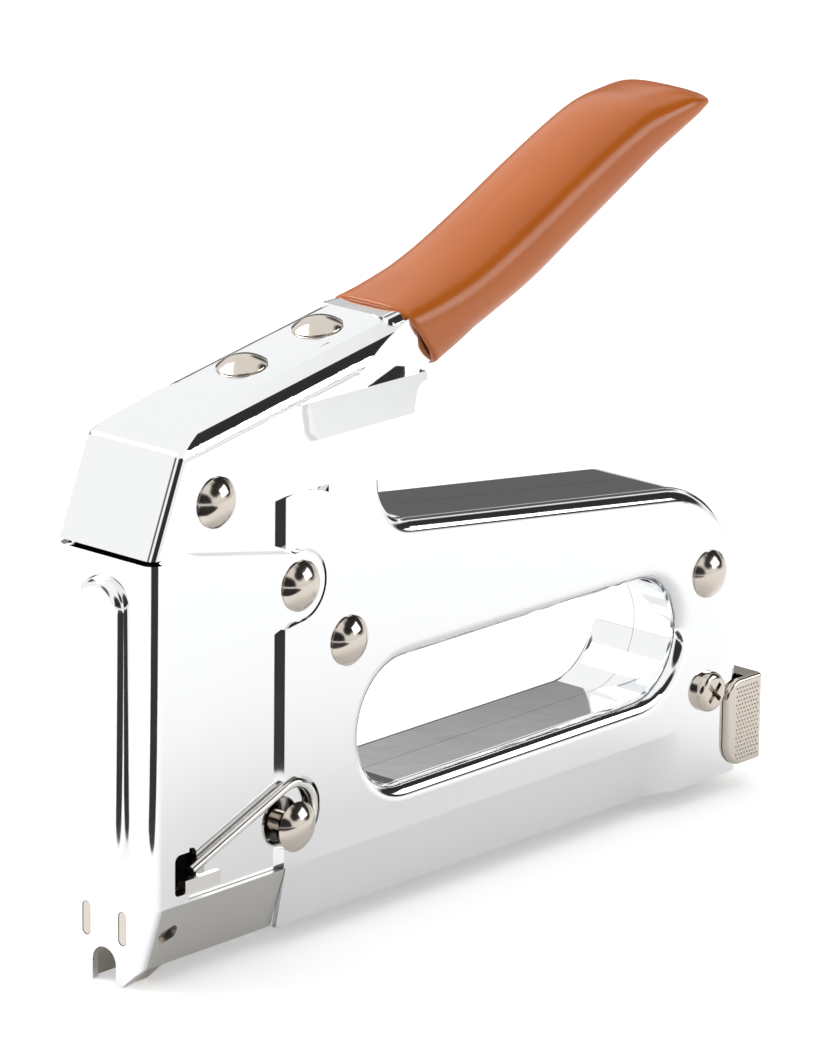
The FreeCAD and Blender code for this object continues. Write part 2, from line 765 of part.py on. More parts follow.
def channel_form(inset):
    outline = channel_outline()
    if inset:
        outline = outline.makeOffset2D(-inset)
    half = CHANNEL_HALF - inset
    block = slab(outline, -half, half)
    sides = fillet_where(
        block, CHANNEL_ROUND - min(inset, 1.2),
        lambda edge: on_plane(edge, "y", half) or on_plane(edge, "y", -half))
    return sides


def grip_form():
    """Outside of the dipped grip."""
    half = CHANNEL_HALF + GRIP_WALL
    block = slab(channel_outline().makeOffset2D(GRIP_WALL), -half, half)
    return fillet_where(
        block, CHANNEL_ROUND + GRIP_WALL,
        lambda edge: on_plane(edge, "y", half) or on_plane(edge, "y", -half))


def handle():
    outer = box_form(0.0).fuse(flare_form(0.0).common(box(0, 80, -20, 20, 85, FLARE_Z1)))
    outer = outer.common(skirt_trim())
    inner = box_form(SHEET).fuse(flare_form(SHEET))
    body = outer.cut(inner)
    rear = channel_form(0.0).cut(channel_form(SHEET))
    floor = slab(channel_outline(), -CHANNEL_HALF + 2.5, CHANNEL_HALF - 2.5)
    lower = floor.cut(slab(channel_outline().makeOffset2D(-6.0), -20, 20))
    rear = rear.cut(lower.common(below_channel()))
    body = body.cut(channel_form(SHEET))
    rear = rear.cut(box_form(SHEET))
    whole = body.fuse(rear)
    whole = whole.cut(rod_y(HANDLE_RIVET, SHANK_RADIUS, -30, 30))
    for x in TOP_RIVETS_X:
        whole = whole.cut(top_rivet_bore(x))
    return whole.removeSplitter()


def below_channel():
    """Region under the channel's mid line, where it is open."""
    return slab(rounded_wire([
        (70, 60),
        (70, 112),
        (100, 118),
        (160, 146),
        (166, 146),
        (172, 60),
    ]), -30, 30)


def top_rivet_bore(x):
    hole = Part.makeCylinder(SHANK_RADIUS, 30, Vector(0, 0, -20), Vector(0, 0, 1))
    return on_ridge(hole, x)


def on_ridge(shape, x):
    piece = shape.copy()
    piece.rotate(Vector(0, 0, 0), Vector(0, 1, 0), -math.degrees(math.atan(RIDGE_SLOPE)))
    piece.translate(Vector(x, 0, ridge_z(x)))
    return piece


def top_rivets():
    depth = 1.02 * SHEET + CHEEK_THICK
    tail = head(CHEEK_Y0 - 0.3, 1.5)
    tail.rotate(Vector(0, 0, 0), Vector(1, 0, 0), 180)
    tail.translate(Vector(0, 0, -depth))
    shank = Part.makeCylinder(SHANK_RADIUS, depth + 0.4, Vector(0, 0, -depth - 0.2), Vector(0, 0, 1))
    whole = fused([head(HEAD_RADIUS, TOP_HEAD_HEIGHT), shank, tail])
    return [on_ridge(whole, x) for x in TOP_RIVETS_X]


def tip_centre():
    half_angle = math.radians(SQUEEZE / 2)
    return (PIVOT[0] - TIP_REACH * math.cos(half_angle), PIVOT[1] - TIP_REACH * math.sin(half_angle))


def lift_lever():
    """Two cheeks on the pivot bush, a web under the ridge and a tongue to the striker."""
    under = ridge_z(0) - 1.02 * SHEET
    web_x0, web_x1 = 33.0, 66.0
    web_top = [(x, under + RIDGE_SLOPE * x) for x in (web_x0, web_x1)]
    cheek_y1 = CHEEK_Y0 + CHEEK_THICK
    cheek = slab(rounded_wire([
        (23.0, PIVOT[1] - 7.2),
        (PIVOT[0] + 3.3, PIVOT[1] - 6.8),
        (PIVOT[0] + 7.3, PIVOT[1] + 1.2),
        (PIVOT[0] + 8.3, PIVOT[1] + 25.2, 8),
        (web_x1, 114.0),
        web_top[1],
        web_top[0],
        (HANDLE_RIVET[0] + 6, HANDLE_RIVET[1] + 6.5, 5),
        (HANDLE_RIVET[0] - 5.3, HANDLE_RIVET[1] + 4.5, 4),
        (HANDLE_RIVET[0] - 5.3, HANDLE_RIVET[1] - 4.5, 4),
        (HANDLE_RIVET[0] + 4.5, HANDLE_RIVET[1] - 5.0, 5),
        (23.0, PIVOT[1] + 3.2),
    ]), CHEEK_Y0, cheek_y1)
    cheek = cheek.fuse(rod_y(PIVOT, EYE_RADIUS, CHEEK_Y0, cheek_y1))
    web = slab(rounded_wire([
        web_top[0],
        web_top[1],
        (web_x1, web_top[1][1] - CHEEK_THICK),
        (web_x0, web_top[0][1] - CHEEK_THICK),
    ]), -cheek_y1, cheek_y1)
    tip = tip_centre()
    slope = math.tan(math.radians(SQUEEZE / 2))
    tongue = slab(rounded_wire([
        (tip[0], tip[1] - TIP_RADIUS + 0.5),
        (24.0, PIVOT[1] - slope * (PIVOT[0] - 24.0) - 3.0),
        (24.0, PIVOT[1] - slope * (PIVOT[0] - 24.0) + 3.6),
        (tip[0], tip[1] + TIP_RADIUS - 0.5),
    ]), -TONGUE_HALF, TONGUE_HALF)
    block = box(23.0, 29.0, -CHEEK_Y0 - 0.5, CHEEK_Y0 + 0.5, PIVOT[1] - 7.2, PIVOT[1] + 1.0)
    round_tip = rod_y(tip, TIP_RADIUS, -TONGUE_HALF, TONGUE_HALF)
    lever = fused([cheek, mirrored(cheek), web, block, tongue, round_tip])
    lever = lever.cut(rod_y(PIVOT, BUSH_RADIUS, -20, 20))
    lever = lever.cut(rod_y(HANDLE_RIVET, SHANK_RADIUS, -20, 20))
    for x in TOP_RIVETS_X:
        lever = lever.cut(top_rivet_bore(x))
    return lever


def grip():
    """Vinyl sleeve over the channel, its front lip slanting down and back."""
    lip = slab(rounded_wire([
        (50.0, 140.0),
        (76.0, 127.0),
        (84.0, 120.5, 14),
        (88.5, 104.0),
        (50.0, 100.0),
    ]), -30, 30)
    return grip_form().cut(channel_form(0.0)).cut(box_form(0.0)).cut(lip)


# ---- firing mechanism --------------------------------------------------------------

def striker_plunger():
    tip = tip_centre()
    plate = box(PLATE_X, PLATE_X + PLATE_THICK, -PLATE_HALF, PLATE_HALF, SHELF_Z, PLATE_TOP)
    room = TIP_RADIUS + TIP_CLEARANCE
    side = TONGUE_HALF + TIP_CLEARANCE
    plate = plate.cut(box(0, 20, -side, side, tip[1] - room, tip[1] + room))
    shelf = box(PLATE_X, SHELF_X1, -PLATE_HALF, PLATE_HALF, SHELF_Z, SPRING_Z0)
    post = Part.makeCylinder(POST_RADIUS, POST_LENGTH + 1, Vector(SPRING_X, 0, SPRING_Z0 - 1))
    plunger = fused([plate, shelf, post])
    for z in BLADE_RIVETS:
        plunger = plunger.cut(rod_x(0, z, BLADE_RIVET_RADIUS, 0, 20))
    return plunger


def driver_blade():
    blade = box(BLADE_X, PLATE_X, -BLADE_HALF, BLADE_HALF, BLADE_BOTTOM, BLADE_TOP)
    for z in BLADE_RIVETS:
        blade = blade.cut(rod_x(0, z, BLADE_RIVET_RADIUS, 0, 20))
    return blade


def blade_rivets():
    return [rod_x(0, z, BLADE_RIVET_RADIUS, BLADE_X + 0.05, PLATE_X + PLATE_THICK) for z in BLADE_RIVETS]


def power_spring():
    length = STOP_Z - SPRING_Z0 - SPRING_WIRE - 0.1
    spring = coil(SPRING_RADIUS, SPRING_WIRE, length / SPRING_TURNS, length)
    spring.translate(Vector(SPRING_X, 0, SPRING_Z0 + SPRING_WIRE / 2 + 0.05))
    return spring


def spring_stop():
    """Fixed seat above the power spring, hooked on the middle rivet."""
    front = PLATE_X + PLATE_THICK + 0.8
    seat = box(front, MID_RIVET[0], -INNER_HALF + 0.1, INNER_HALF - 0.1, STOP_Z, STOP_Z + STOP_THICK)
    hub = rod_y(MID_RIVET, BUSH_RADIUS, -FULL_INNER + 0.05, FULL_INNER - 0.05)
    post = Part.makeCylinder(POST_RADIUS, POST_LENGTH + 1, Vector(SPRING_X, 0, STOP_Z - POST_LENGTH))
    return fused([seat, hub, post]).cut(rod_y(MID_RIVET, SHANK_RADIUS, -20, 20))


def bumper():
    lower = KEEPER_Z
    return box(KEEPER_X1 + 0.8, SHELF_X1 + 1, -PLATE_HALF, PLATE_HALF, lower, SHELF_Z - 0.1)


def return_spring():
    """Torsion spring round the pivot bush, one leg on the spring stop, one up to the web."""
    lead = RETURN_WIRE * 1.1
    width = lead * RETURN_TURNS
    x = PIVOT[0] + RETURN_RADIUS
    foot = STOP_Z + STOP_THICK + 0.1
    points = [Vector(x, width / 2, PIVOT[1] + rise) for rise in (16, 11, 6, 3)]
    per_turn = 12
    for i in range(int(RETURN_TURNS) * per_turn + 1):
        turn = i / per_turn
        angle = -2 * math.pi * turn
        coil_x = PIVOT[0] + RETURN_RADIUS * math.cos(angle)
        points.append(Vector(coil_x, width / 2 - lead * turn, PIVOT[1] + RETURN_RADIUS * math.sin(angle)))
    points += [Vector(x, -width / 2, z) for z in (PIVOT[1] - 3, PIVOT[1] - 7, foot)]
    path = Part.BSplineCurve()
    path.interpolate(points)
    ring = Part.Wire(Part.makeCircle(RETURN_WIRE / 2, points[0], Vector(0, 0, 1)))
    return Part.Wire(path.toShape()).makePipeShell([ring], True, True)


# ---- magazine ----------------------------------------------------------------------

def magazine_channel():
    outer = TRACK_HALF + TRACK_SHEET
    roof = TRACK_TOP + TRACK_SHEET
    track = box(TRACK_X0, TRACK_X1, -outer, outer, TRACK_BOTTOM, roof)
    track = track.cut(box(0, FAR, -TRACK_HALF, TRACK_HALF, 0, TRACK_TOP))
    slot_half = KEEPER_FOOT_HALF + 0.3
    track = track.cut(box(KEEPER_X0, KEEPER_X1, -slot_half, slot_half, 10, 30))
    for centre in (FRONT_RIVET, HEEL_SCREW):
        top = centre[1] + SPACER_RADIUS + 0.6
        lug = box(centre[0] - 5, centre[0] + 5, TRACK_HALF, outer, roof - 1, top)
        lug = lug.cut(rod_y(centre, SHANK_RADIUS, -20, 20))
        track = track.multiFuse(both_sides(lug))
    return track.removeSplitter()


def staple(x):
    leg_y = STAPLE_HALF - STAPLE_WIRE / 2
    foot = CROWN_Z + STAPLE_WIRE / 2 - STAPLE_LEG
    near = 1 - math.sqrt(0.5)
    lines = [
        Part.makeLine(Vector(x, -leg_y, foot), Vector(x, -leg_y, CROWN_Z - STAPLE_BEND)),
        Part.Arc(
            Vector(x, -leg_y, CROWN_Z - STAPLE_BEND),
            Vector(x, -leg_y + STAPLE_BEND * near, CROWN_Z - STAPLE_BEND * near),
            Vector(x, -leg_y + STAPLE_BEND, CROWN_Z)).toShape(),
        Part.makeLine(Vector(x, -leg_y + STAPLE_BEND, CROWN_Z), Vector(x, leg_y - STAPLE_BEND, CROWN_Z)),
        Part.Arc(
            Vector(x, leg_y - STAPLE_BEND, CROWN_Z),
            Vector(x, leg_y - STAPLE_BEND * near, CROWN_Z - STAPLE_BEND * near),
            Vector(x, leg_y, CROWN_Z - STAPLE_BEND)).toShape(),
        Part.makeLine(Vector(x, leg_y, CROWN_Z - STAPLE_BEND), Vector(x, leg_y, foot)),
    ]
    ring = Part.Wire(Part.makeCircle(STAPLE_WIRE / 2, Vector(x, -leg_y, foot), Vector(0, 0, 1)))
    return Part.Wire(lines).makePipeShell([ring], True, False)


def staple_strip():
    return [staple(STRIP_X0 + STAPLE_PITCH * i) for i in range(STAPLE_COUNT)]


def pusher_rail():
    end = LATCH_X1 - LATCH_SHEET
    rail = box(RAIL_X0, end, -RAIL_HALF, RAIL_HALF, RAIL_Z0, RAIL_TOP)
    inner = RAIL_HALF - RAIL_WALL
    return rail.cut(box(0, end - 2, -inner, inner, 0, RAIL_TOP - RAIL_WALL))


def pusher_follower():
    """Block astride the rail, with a tongue inside the rail for the spring."""
    x1 = FOLLOWER_X0 + FOLLOWER_LENGTH
    outer = TRACK_HALF - 0.25
    block = box(FOLLOWER_X0, x1, -outer, outer, FOLLOWER_BOTTOM, TRACK_TOP - 0.2)
    room = RAIL_HALF + RAIL_FIT
    block = block.cut(box(0, FAR, -room, room, RAIL_Z0 - RAIL_FIT, RAIL_TOP + RAIL_FIT))
    inner = RAIL_HALF - RAIL_WALL - RAIL_FIT
    tongue = box(FOLLOWER_X0, x1, -inner, inner, RAIL_Z0 - 0.5, RAIL_TOP - RAIL_WALL - RAIL_FIT)
    return block.fuse(tongue).removeSplitter()


def pusher_spring():
    start = FOLLOWER_X0 + FOLLOWER_LENGTH + PUSHER_WIRE / 2 + 0.05
    length = LATCH_X1 - LATCH_SHEET - 2 - PUSHER_WIRE / 2 - 0.05 - start
    spring = coil(PUSHER_RADIUS, PUSHER_WIRE, PUSHER_PITCH, length)
    spring.rotate(Vector(0, 0, 0), Vector(0, 1, 0), 90)
    spring.translate(Vector(start, 0, (RAIL_Z0 + RAIL_TOP) / 2))
    return spring


def latch_head():
    """Knurled loader latch: a tray behind the heel with a wing on each side of it."""
    inner = HALF + LATCH_GAP
    outer = inner + LATCH_SHEET
    tray_x = HEEL_X + 0.5
    outline = rounded_wire([
        (LATCH_X0, LATCH_Z0, 5.5),
        (LATCH_X1, LATCH_Z0, 0.8),
        (LATCH_X1, LATCH_Z1, 0.8),
        (LATCH_X0, LATCH_Z1, 4.5),
    ])
    block = slab(outline, -outer, outer)
    block = fillet_where(block, 1.0, lambda edge: on_plane(edge, "y", outer) or on_plane(edge, "y", -outer))
    wings_gap = box(0, tray_x, -inner, inner, -5, 60)
    hollow = box(0, LATCH_X1 - LATCH_SHEET, -inner, inner, LATCH_Z0 + LATCH_SHEET, LATCH_Z1 - LATCH_SHEET)
    return block.cut(wings_gap).cut(hollow)


def strip_keeper():
    """Sprung plate over the strip, its ears standing out of the side windows."""
    top = KEEPER_Z + KEEPER_THICK
    tab_y = HALF + 0.2
    plate = box(KEEPER_X0, KEEPER_X1, -tab_y - KEEPER_TAB, tab_y + KEEPER_TAB, KEEPER_Z, top)
    foot_bottom = CROWN_Z + STAPLE_WIRE / 2 + 0.05
    foot = box(KEEPER_X0 + 0.3, KEEPER_X1 - 0.3, -KEEPER_FOOT_HALF, KEEPER_FOOT_HALF, foot_bottom, top)
    tab = box(KEEPER_X0, KEEPER_TAB_X1, -tab_y - KEEPER_TAB, -tab_y, KEEPER_Z - 1.0, top)
    tab = fillet_where(tab, 0.5, lambda edge: on_plane(edge, "x", KEEPER_TAB_X1))
    return fused([plate, foot] + both_sides(tab))


def keeper_wire():
    """One wire spring: an arm over the keeper's ear and a loop round the front rivet."""
    start = Vector(KEEPER_X0 + 3.3, 0, KEEPER_Z + KEEPER_THICK + WIRE_RADIUS + 0.1)
    centre = Vector(COIL_CENTRE[0], 0, COIL_CENTRE[1])
    reach = centre - start
    to_centre = math.atan2(reach.z, reach.x)
    arm = to_centre + math.asin(COIL_RADIUS / reach.Length)
    first = arm + math.pi / 2
    sweep = math.radians(COIL_SWEEP)

    def on_coil(angle):
        return centre + Vector(math.cos(angle), 0, math.sin(angle)) * COIL_RADIUS

    path = Part.Wire([
        Part.makeLine(start, on_coil(first)),
        Part.Arc(on_coil(first), on_coil(first - sweep / 2), on_coil(first - sweep)).toShape(),
    ])
    direction = (on_coil(first) - start).normalize()
    ring = Part.Wire(Part.makeCircle(WIRE_RADIUS, start, direction))
    wire = path.makePipeShell([ring], True, False)
    wire.translate(Vector(0, -WIRE_Y, 0))
    return wire


# ---- every piece -------------------------------------------------------------------

def pieces():
    left = left_shell()
    mid_y = TRACK_HALF + TRACK_SHEET
    bush_y = INNER_HALF - SIDE_CLEARANCE
    return {
        "left_shell": [left],
        "right_shell": [mirrored(left)],
        "front_cover": [front_cover()],
        "nose_housing": [nose_housing()],
        "nose_guide": [nose_guide()],
        "pivot_rivet": [rivet(PIVOT, PIVOT_RADIUS, HALF)],
        "body_rivets": body_rivets(),
        "heel_screw": [heel_screw()],
        "heel_nut": [heel_nut()],
        "front_spacers": spacers(FRONT_RIVET, SPACER_RADIUS, mid_y, INNER_HALF),
        "heel_spacers": spacers(HEEL_SCREW, SPACER_RADIUS, mid_y, FULL_INNER),
        "rear_spacer": [tube(REAR_RIVET, SPACER_RADIUS, SHANK_RADIUS, -FULL_INNER, FULL_INNER)],
        "spring_stop": [spring_stop()],
        "bumper": [bumper()],
        "magazine_channel": [magazine_channel()],
        "staple_strip": staple_strip(),
        "strip_keeper": [strip_keeper()],
        "keeper_springs": both_sides(keeper_wire()),
        "pusher_rail": [pusher_rail()],
        "latch_head": [latch_head()],
        "pusher_follower": [pusher_follower()],
        "pusher_spring": [pusher_spring()],
        "striker_plunger": [striker_plunger()],
        "driver_blade": [driver_blade()],
        "blade_rivets": blade_rivets(),
        "power_spring": [power_spring()],
        "handle": [handle()],
        "lift_lever": [lift_lever()],
        "pivot_bush": [tube(PIVOT, BUSH_RADIUS, PIVOT_RADIUS + PIVOT_FIT, -bush_y, bush_y)],
        "handle_rivet": [rivet(HANDLE_RIVET, SHANK_RADIUS, SKIRT_HALF)],
        "top_rivets": top_rivets(),
        "grip": [grip()],
        "return_spring": [return_spring()],
    }


def main():
    os.makedirs("parts", exist_ok=True)
    for name, solids in pieces().items():
        shape = solids[0] if len(solids) == 1 else Part.makeCompound(solids)
        shape.exportStep("parts/" + name + ".step")


main()
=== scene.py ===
import json
import math

import bmesh
import bpy
from bpy.props import FloatProperty, FloatVectorProperty, IntProperty, PointerProperty
from mathutils import Matrix, Vector


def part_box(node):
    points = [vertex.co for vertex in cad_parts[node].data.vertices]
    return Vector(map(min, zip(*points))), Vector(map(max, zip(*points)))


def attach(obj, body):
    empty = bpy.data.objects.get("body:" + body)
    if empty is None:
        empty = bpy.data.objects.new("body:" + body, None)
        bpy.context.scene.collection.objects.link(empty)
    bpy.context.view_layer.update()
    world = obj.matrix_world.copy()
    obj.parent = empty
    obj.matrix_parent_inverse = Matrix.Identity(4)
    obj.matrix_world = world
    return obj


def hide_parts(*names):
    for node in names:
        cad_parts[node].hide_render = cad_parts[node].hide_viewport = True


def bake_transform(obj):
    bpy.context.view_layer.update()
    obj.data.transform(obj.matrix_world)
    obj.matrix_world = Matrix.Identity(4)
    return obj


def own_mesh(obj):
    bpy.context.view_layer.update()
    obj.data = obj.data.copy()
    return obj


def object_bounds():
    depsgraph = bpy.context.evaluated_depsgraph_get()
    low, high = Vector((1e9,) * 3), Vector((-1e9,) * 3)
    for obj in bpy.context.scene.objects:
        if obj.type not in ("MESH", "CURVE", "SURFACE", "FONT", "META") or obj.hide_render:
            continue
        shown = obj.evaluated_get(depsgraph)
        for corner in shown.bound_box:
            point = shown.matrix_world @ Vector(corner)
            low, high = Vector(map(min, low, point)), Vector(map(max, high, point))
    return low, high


bl_info = {
    "name": "Wire Staple Gun",
    "version": (1, 0, 0),
    "blender": (4, 5, 0),
    "location": "3D View > Sidebar > Staple Gun",
    "description": "Finishes, rivets, sleeve, knurling, springs and staples of a hand staple gun",
    "category": "Add Mesh",
}

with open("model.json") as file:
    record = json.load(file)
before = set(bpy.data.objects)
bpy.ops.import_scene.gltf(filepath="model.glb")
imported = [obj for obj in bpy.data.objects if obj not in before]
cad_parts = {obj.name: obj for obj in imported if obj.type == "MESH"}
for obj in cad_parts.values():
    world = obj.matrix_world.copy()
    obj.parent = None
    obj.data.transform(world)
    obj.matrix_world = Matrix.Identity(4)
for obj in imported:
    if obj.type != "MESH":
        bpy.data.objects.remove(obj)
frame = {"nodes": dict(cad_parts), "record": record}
CAD_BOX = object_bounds()
MM = 0.001

# Places shared with the model, in millimetres: (x, z) of each rivet's axis
PIVOT = (42.7, 72.8)
BODY_RIVETS = ((57.4, 58.0), (172.4, 47.2))
FRONT_RIVET = (41.2, 22.1)
HANDLE_RIVET = (18.1, 95.4)
RIDGE_RIVETS = ((39.5, 116.775), (61.7, 120.638))
RIDGE_SLOPE = 0.174
LEFT = -1
RIGHT = 1


# ---- small tools -------------------------------------------------------------------

def linear(code):
    """Linear colour with alpha from an sRGB hex code."""
    values = [int(code[i:i + 2], 16) / 255 for i in (1, 3, 5)]
    return [v / 12.92 if v <= 0.04045 else ((v + 0.055) / 1.055) ** 2.4 for v in values] + [1.0]


def place(obj):
    bpy.context.scene.collection.objects.link(obj)
    return obj


def mesh_object(name, mesh):
    return place(bpy.data.objects.new(name, mesh))


def add(tree, kind, settings=None, inputs=None):
    """Add a node, set its properties, and fill or link its inputs."""
    node = tree.nodes.new(kind)
    for key, value in (settings or {}).items():
        setattr(node, key, value)
    for key, value in (inputs or {}).items():
        if isinstance(value, bpy.types.NodeSocket):
            tree.links.new(value, node.inputs[key])
        else:
            node.inputs[key].default_value = value
    return node


def new_material(name):
    material = bpy.data.materials.new(name)
    material.use_nodes = True
    tree = material.node_tree
    return material, tree, tree.nodes["Principled BSDF"]


def plated(name, colour, roughness, uneven, grain_mm, bump_mm, stretch=(1.0, 1.0, 1.0)):
    """A metal finish whose gloss drifts over the surface and whose face has a fine relief."""
    material, tree, shader = new_material(name)
    shader.inputs["Base Color"].default_value = colour
    shader.inputs["Metallic"].default_value = 1.0
    where = add(tree, "ShaderNodeTexCoord").outputs["Object"]
    haze = add(tree, "ShaderNodeTexNoise", None, {"Vector": where, "Scale": 70.0, "Detail": 4.0})
    gloss = add(tree, "ShaderNodeMapRange", None, {
        "Value": haze.outputs["Fac"], "From Min": 0.35, "From Max": 0.7,
        "To Min": roughness, "To Max": roughness + uneven})
    tree.links.new(gloss.outputs["Result"], shader.inputs["Roughness"])
    spread = add(tree, "ShaderNodeMapping", None, {"Vector": where, "Scale": stretch})
    grain = add(tree, "ShaderNodeTexNoise", None, {
        "Vector": spread.outputs["Vector"], "Scale": 1.0 / (grain_mm * MM), "Detail": 2.0})
    relief = add(tree, "ShaderNodeBump", None, {
        "Height": grain.outputs["Fac"], "Distance": bump_mm * MM, "Strength": 1.0})
    tree.links.new(relief.outputs["Normal"], shader.inputs["Normal"])
    return material


def dress(obj, material):
    """Give every slot of a piece one material."""
    if not obj.data.materials:
        obj.data.materials.append(material)
    for slot in obj.material_slots:
        slot.material = material


def smooth_by_angle(mesh, degrees):
    mesh.shade_smooth()
    mesh.set_sharp_from_angle(angle=math.radians(degrees))


def node_tree(name, inputs):
    """A geometry tree with named inputs, and its group input and output nodes."""
    tree = bpy.data.node_groups.new(name, "GeometryNodeTree")
    tree.interface.new_socket("Geometry", in_out="INPUT", socket_type="NodeSocketGeometry")
    tree.interface.new_socket("Geometry", in_out="OUTPUT", socket_type="NodeSocketGeometry")
    for label, kind, value in inputs:
        socket = tree.interface.new_socket(label, in_out="INPUT", socket_type=kind)
        if value is not None:
            socket.default_value = value
    return tree, add(tree, "NodeGroupInput"), add(tree, "NodeGroupOutput")


def close_tree(tree, entry, leave, geometry):
    """Every tree ends in real geometry with its material set."""
    real = add(tree, "GeometryNodeRealizeInstances", None, {"Geometry": geometry})
    named = add(tree, "GeometryNodeSetMaterial", None, {
        "Geometry": real.outputs["Geometry"], "Material": entry.outputs["Material"]})
    tree.links.new(named.outputs["Geometry"], leave.inputs["Geometry"])


def baked(name, mesh, tree, values):
    """Run a geometry tree on a mesh and keep the result as a plain mesh."""
    host = mesh_object(name, mesh)
    modifier = host.modifiers.new("Build", "NODES")
    modifier.node_group = tree
    for item in tree.interface.items_tree:
        if item.in_out == "INPUT" and item.name in values:
            modifier[item.identifier] = values[item.name]
    graph = bpy.context.evaluated_depsgraph_get()
    made = bpy.data.meshes.new_from_object(host.evaluated_get(graph), depsgraph=graph)
    host.modifiers.clear()
    host.data = made
    made.name = name
    return host


def point_mesh(name, places):
    """Loose points in metres, each with a direction that the piece on it faces."""
    mesh = bpy.data.meshes.new(name)
    mesh.from_pydata([Vector(point) * MM for point, facing in places], [], [])
    facing = mesh.attributes.new("facing", "FLOAT_VECTOR", "POINT")
    for i, (point, direction) in enumerate(places):
        facing.data[i].vector = direction
    return mesh


def lathe(name, profile, segments):
    """Closed solid of revolution about Z from (radius, height) points, in millimetres."""
    shape = bmesh.new()
    rings = []
    for radius, height in profile:
        if radius == 0:
            rings.append([shape.verts.new((0, 0, height * MM))])
            continue
        ring = []
        for i in range(segments):
            angle = 2 * math.pi * i / segments
            spot = Vector((radius * math.cos(angle), radius * math.sin(angle), height))
            ring.append(shape.verts.new(spot * MM))
        rings.append(ring)
    for low, high in zip(rings, rings[1:]):
        for i in range(segments):
            corners = [
                low[i % len(low)], low[(i + 1) % len(low)],
                high[(i + 1) % len(high)], high[i % len(high)]]
            unique = list(dict.fromkeys(corners))
            if len(unique) > 2:
                shape.faces.new(unique)
    bmesh.ops.recalc_face_normals(shape, faces=shape.faces)
    mesh = bpy.data.meshes.new(name)
    shape.to_mesh(mesh)
    shape.free()
    smooth_by_angle(mesh, 35)
    return mesh


# ---- finishes ----------------------------------------------------------------------

def bright_chrome(colours):
    # Decorative chrome over nickel on pressed steel, buffed: a mirror with a very faint waviness.
    return plated("bright chrome plate", colours.chrome, 0.045, 0.04, 9.0, 0.012)


def satin_zinc(colours):
    # Zinc-plated sheet left as rolled: soft streaks along the sheet, no clear reflection.
    return plated("satin zinc plate", colours.satin, 0.3, 0.12, 0.5, 0.01, (0.12, 1.0, 1.0))


def warm_nickel(colours):
    # Barrel-plated nickel on rivets and small pressings: glossy, faintly yellow.
    return plated("warm nickel plate", colours.nickel, 0.1, 0.06, 0.8, 0.004)


def bright_nickel(colours):
    return plated("bright nickel plate", colours.bright_nickel, 0.12, 0.06, 0.9, 0.006)


def oiled_steel(colours):
    # Hardened tool steel with a film of oil: dark and half glossy.
    return plated("oiled hardened steel", colours.steel, 0.28, 0.12, 0.4, 0.008)


def spring_wire(colours):
    return plated("drawn spring wire", colours.spring, 0.25, 0.12, 0.3, 0.006)


def galvanised_wire(colours):
    return plated("galvanised staple wire", colours.staple, 0.26, 0.1, 0.4, 0.006)


def dipped_vinyl(colours):
    # Plastisol dipped sleeve: thick soft vinyl with a wet gloss over a faint orange peel.
    material, tree, shader = new_material("dipped vinyl")
    where = add(tree, "ShaderNodeTexCoord").outputs["Object"]
    cloud = add(tree, "ShaderNodeTexNoise", None, {"Vector": where, "Scale": 45.0, "Detail": 3.0})
    tone = add(tree, "ShaderNodeMix", {"data_type": "RGBA"}, {
        "Factor": cloud.outputs["Fac"], "A": colours.vinyl, "B": colours.vinyl_light})
    tree.links.new(tone.outputs["Result"], shader.inputs["Base Color"])
    shader.inputs["Roughness"].default_value = 0.3
    shader.inputs["IOR"].default_value = 1.53
    shader.inputs["Coat Weight"].default_value = 0.15
    shader.inputs["Coat Roughness"].default_value = 0.12
    peel = add(tree, "ShaderNodeTexNoise", None, {"Vector": where, "Scale": 1.0 / (1.6 * MM), "Detail": 1.0})
    relief = add(tree, "ShaderNodeBump", None, {"Height": peel.outputs["Fac"], "Distance": 0.02 * MM})
    tree.links.new(relief.outputs["Normal"], shader.inputs["Normal"])
    tree.links.new(relief.outputs["Normal"], shader.inputs["Coat Normal"])
    return material


def moulded_rubber(colours):
    material, tree, shader = new_material("moulded rubber")
    shader.inputs["Base Color"].default_value = colours.rubber
    shader.inputs["Roughness"].default_value = 0.75
    where = add(tree, "ShaderNodeTexCoord").outputs["Object"]
    grit = add(tree, "ShaderNodeTexNoise", None, {"Vector": where, "Scale": 1.0 / (0.4 * MM), "Detail": 3.0})
    relief = add(tree, "ShaderNodeBump", None, {"Height": grit.outputs["Fac"], "Distance": 0.05 * MM})
    tree.links.new(relief.outputs["Normal"], shader.inputs["Normal"])
    return material


FINISHES = {
    "chrome_plate": bright_chrome,
    "satin_steel": satin_zinc,
    "warm_nickel": warm_nickel,
    "bright_nickel": bright_nickel,
    "dark_steel": oiled_steel,
    "spring_steel": spring_wire,
    "zinc_wire": galvanised_wire,
    "orange_vinyl": dipped_vinyl,
    "black_rubber": moulded_rubber,
}


def finish_for(slot):
    """The material of a record slot, made once."""
    name = "finish " + slot
    if name not in bpy.data.materials:
        made = FINISHES[slot](bpy.context.scene.staple_gun_colours)
        made.name = name
    return bpy.data.materials[name]


# ---- properties --------------------------------------------------------------------

def colour_property(label, words, code):
    return FloatVectorProperty(
        name=label, description=words, size=4, subtype="COLOR", min=0.0, max=1.0, default=linear(code))


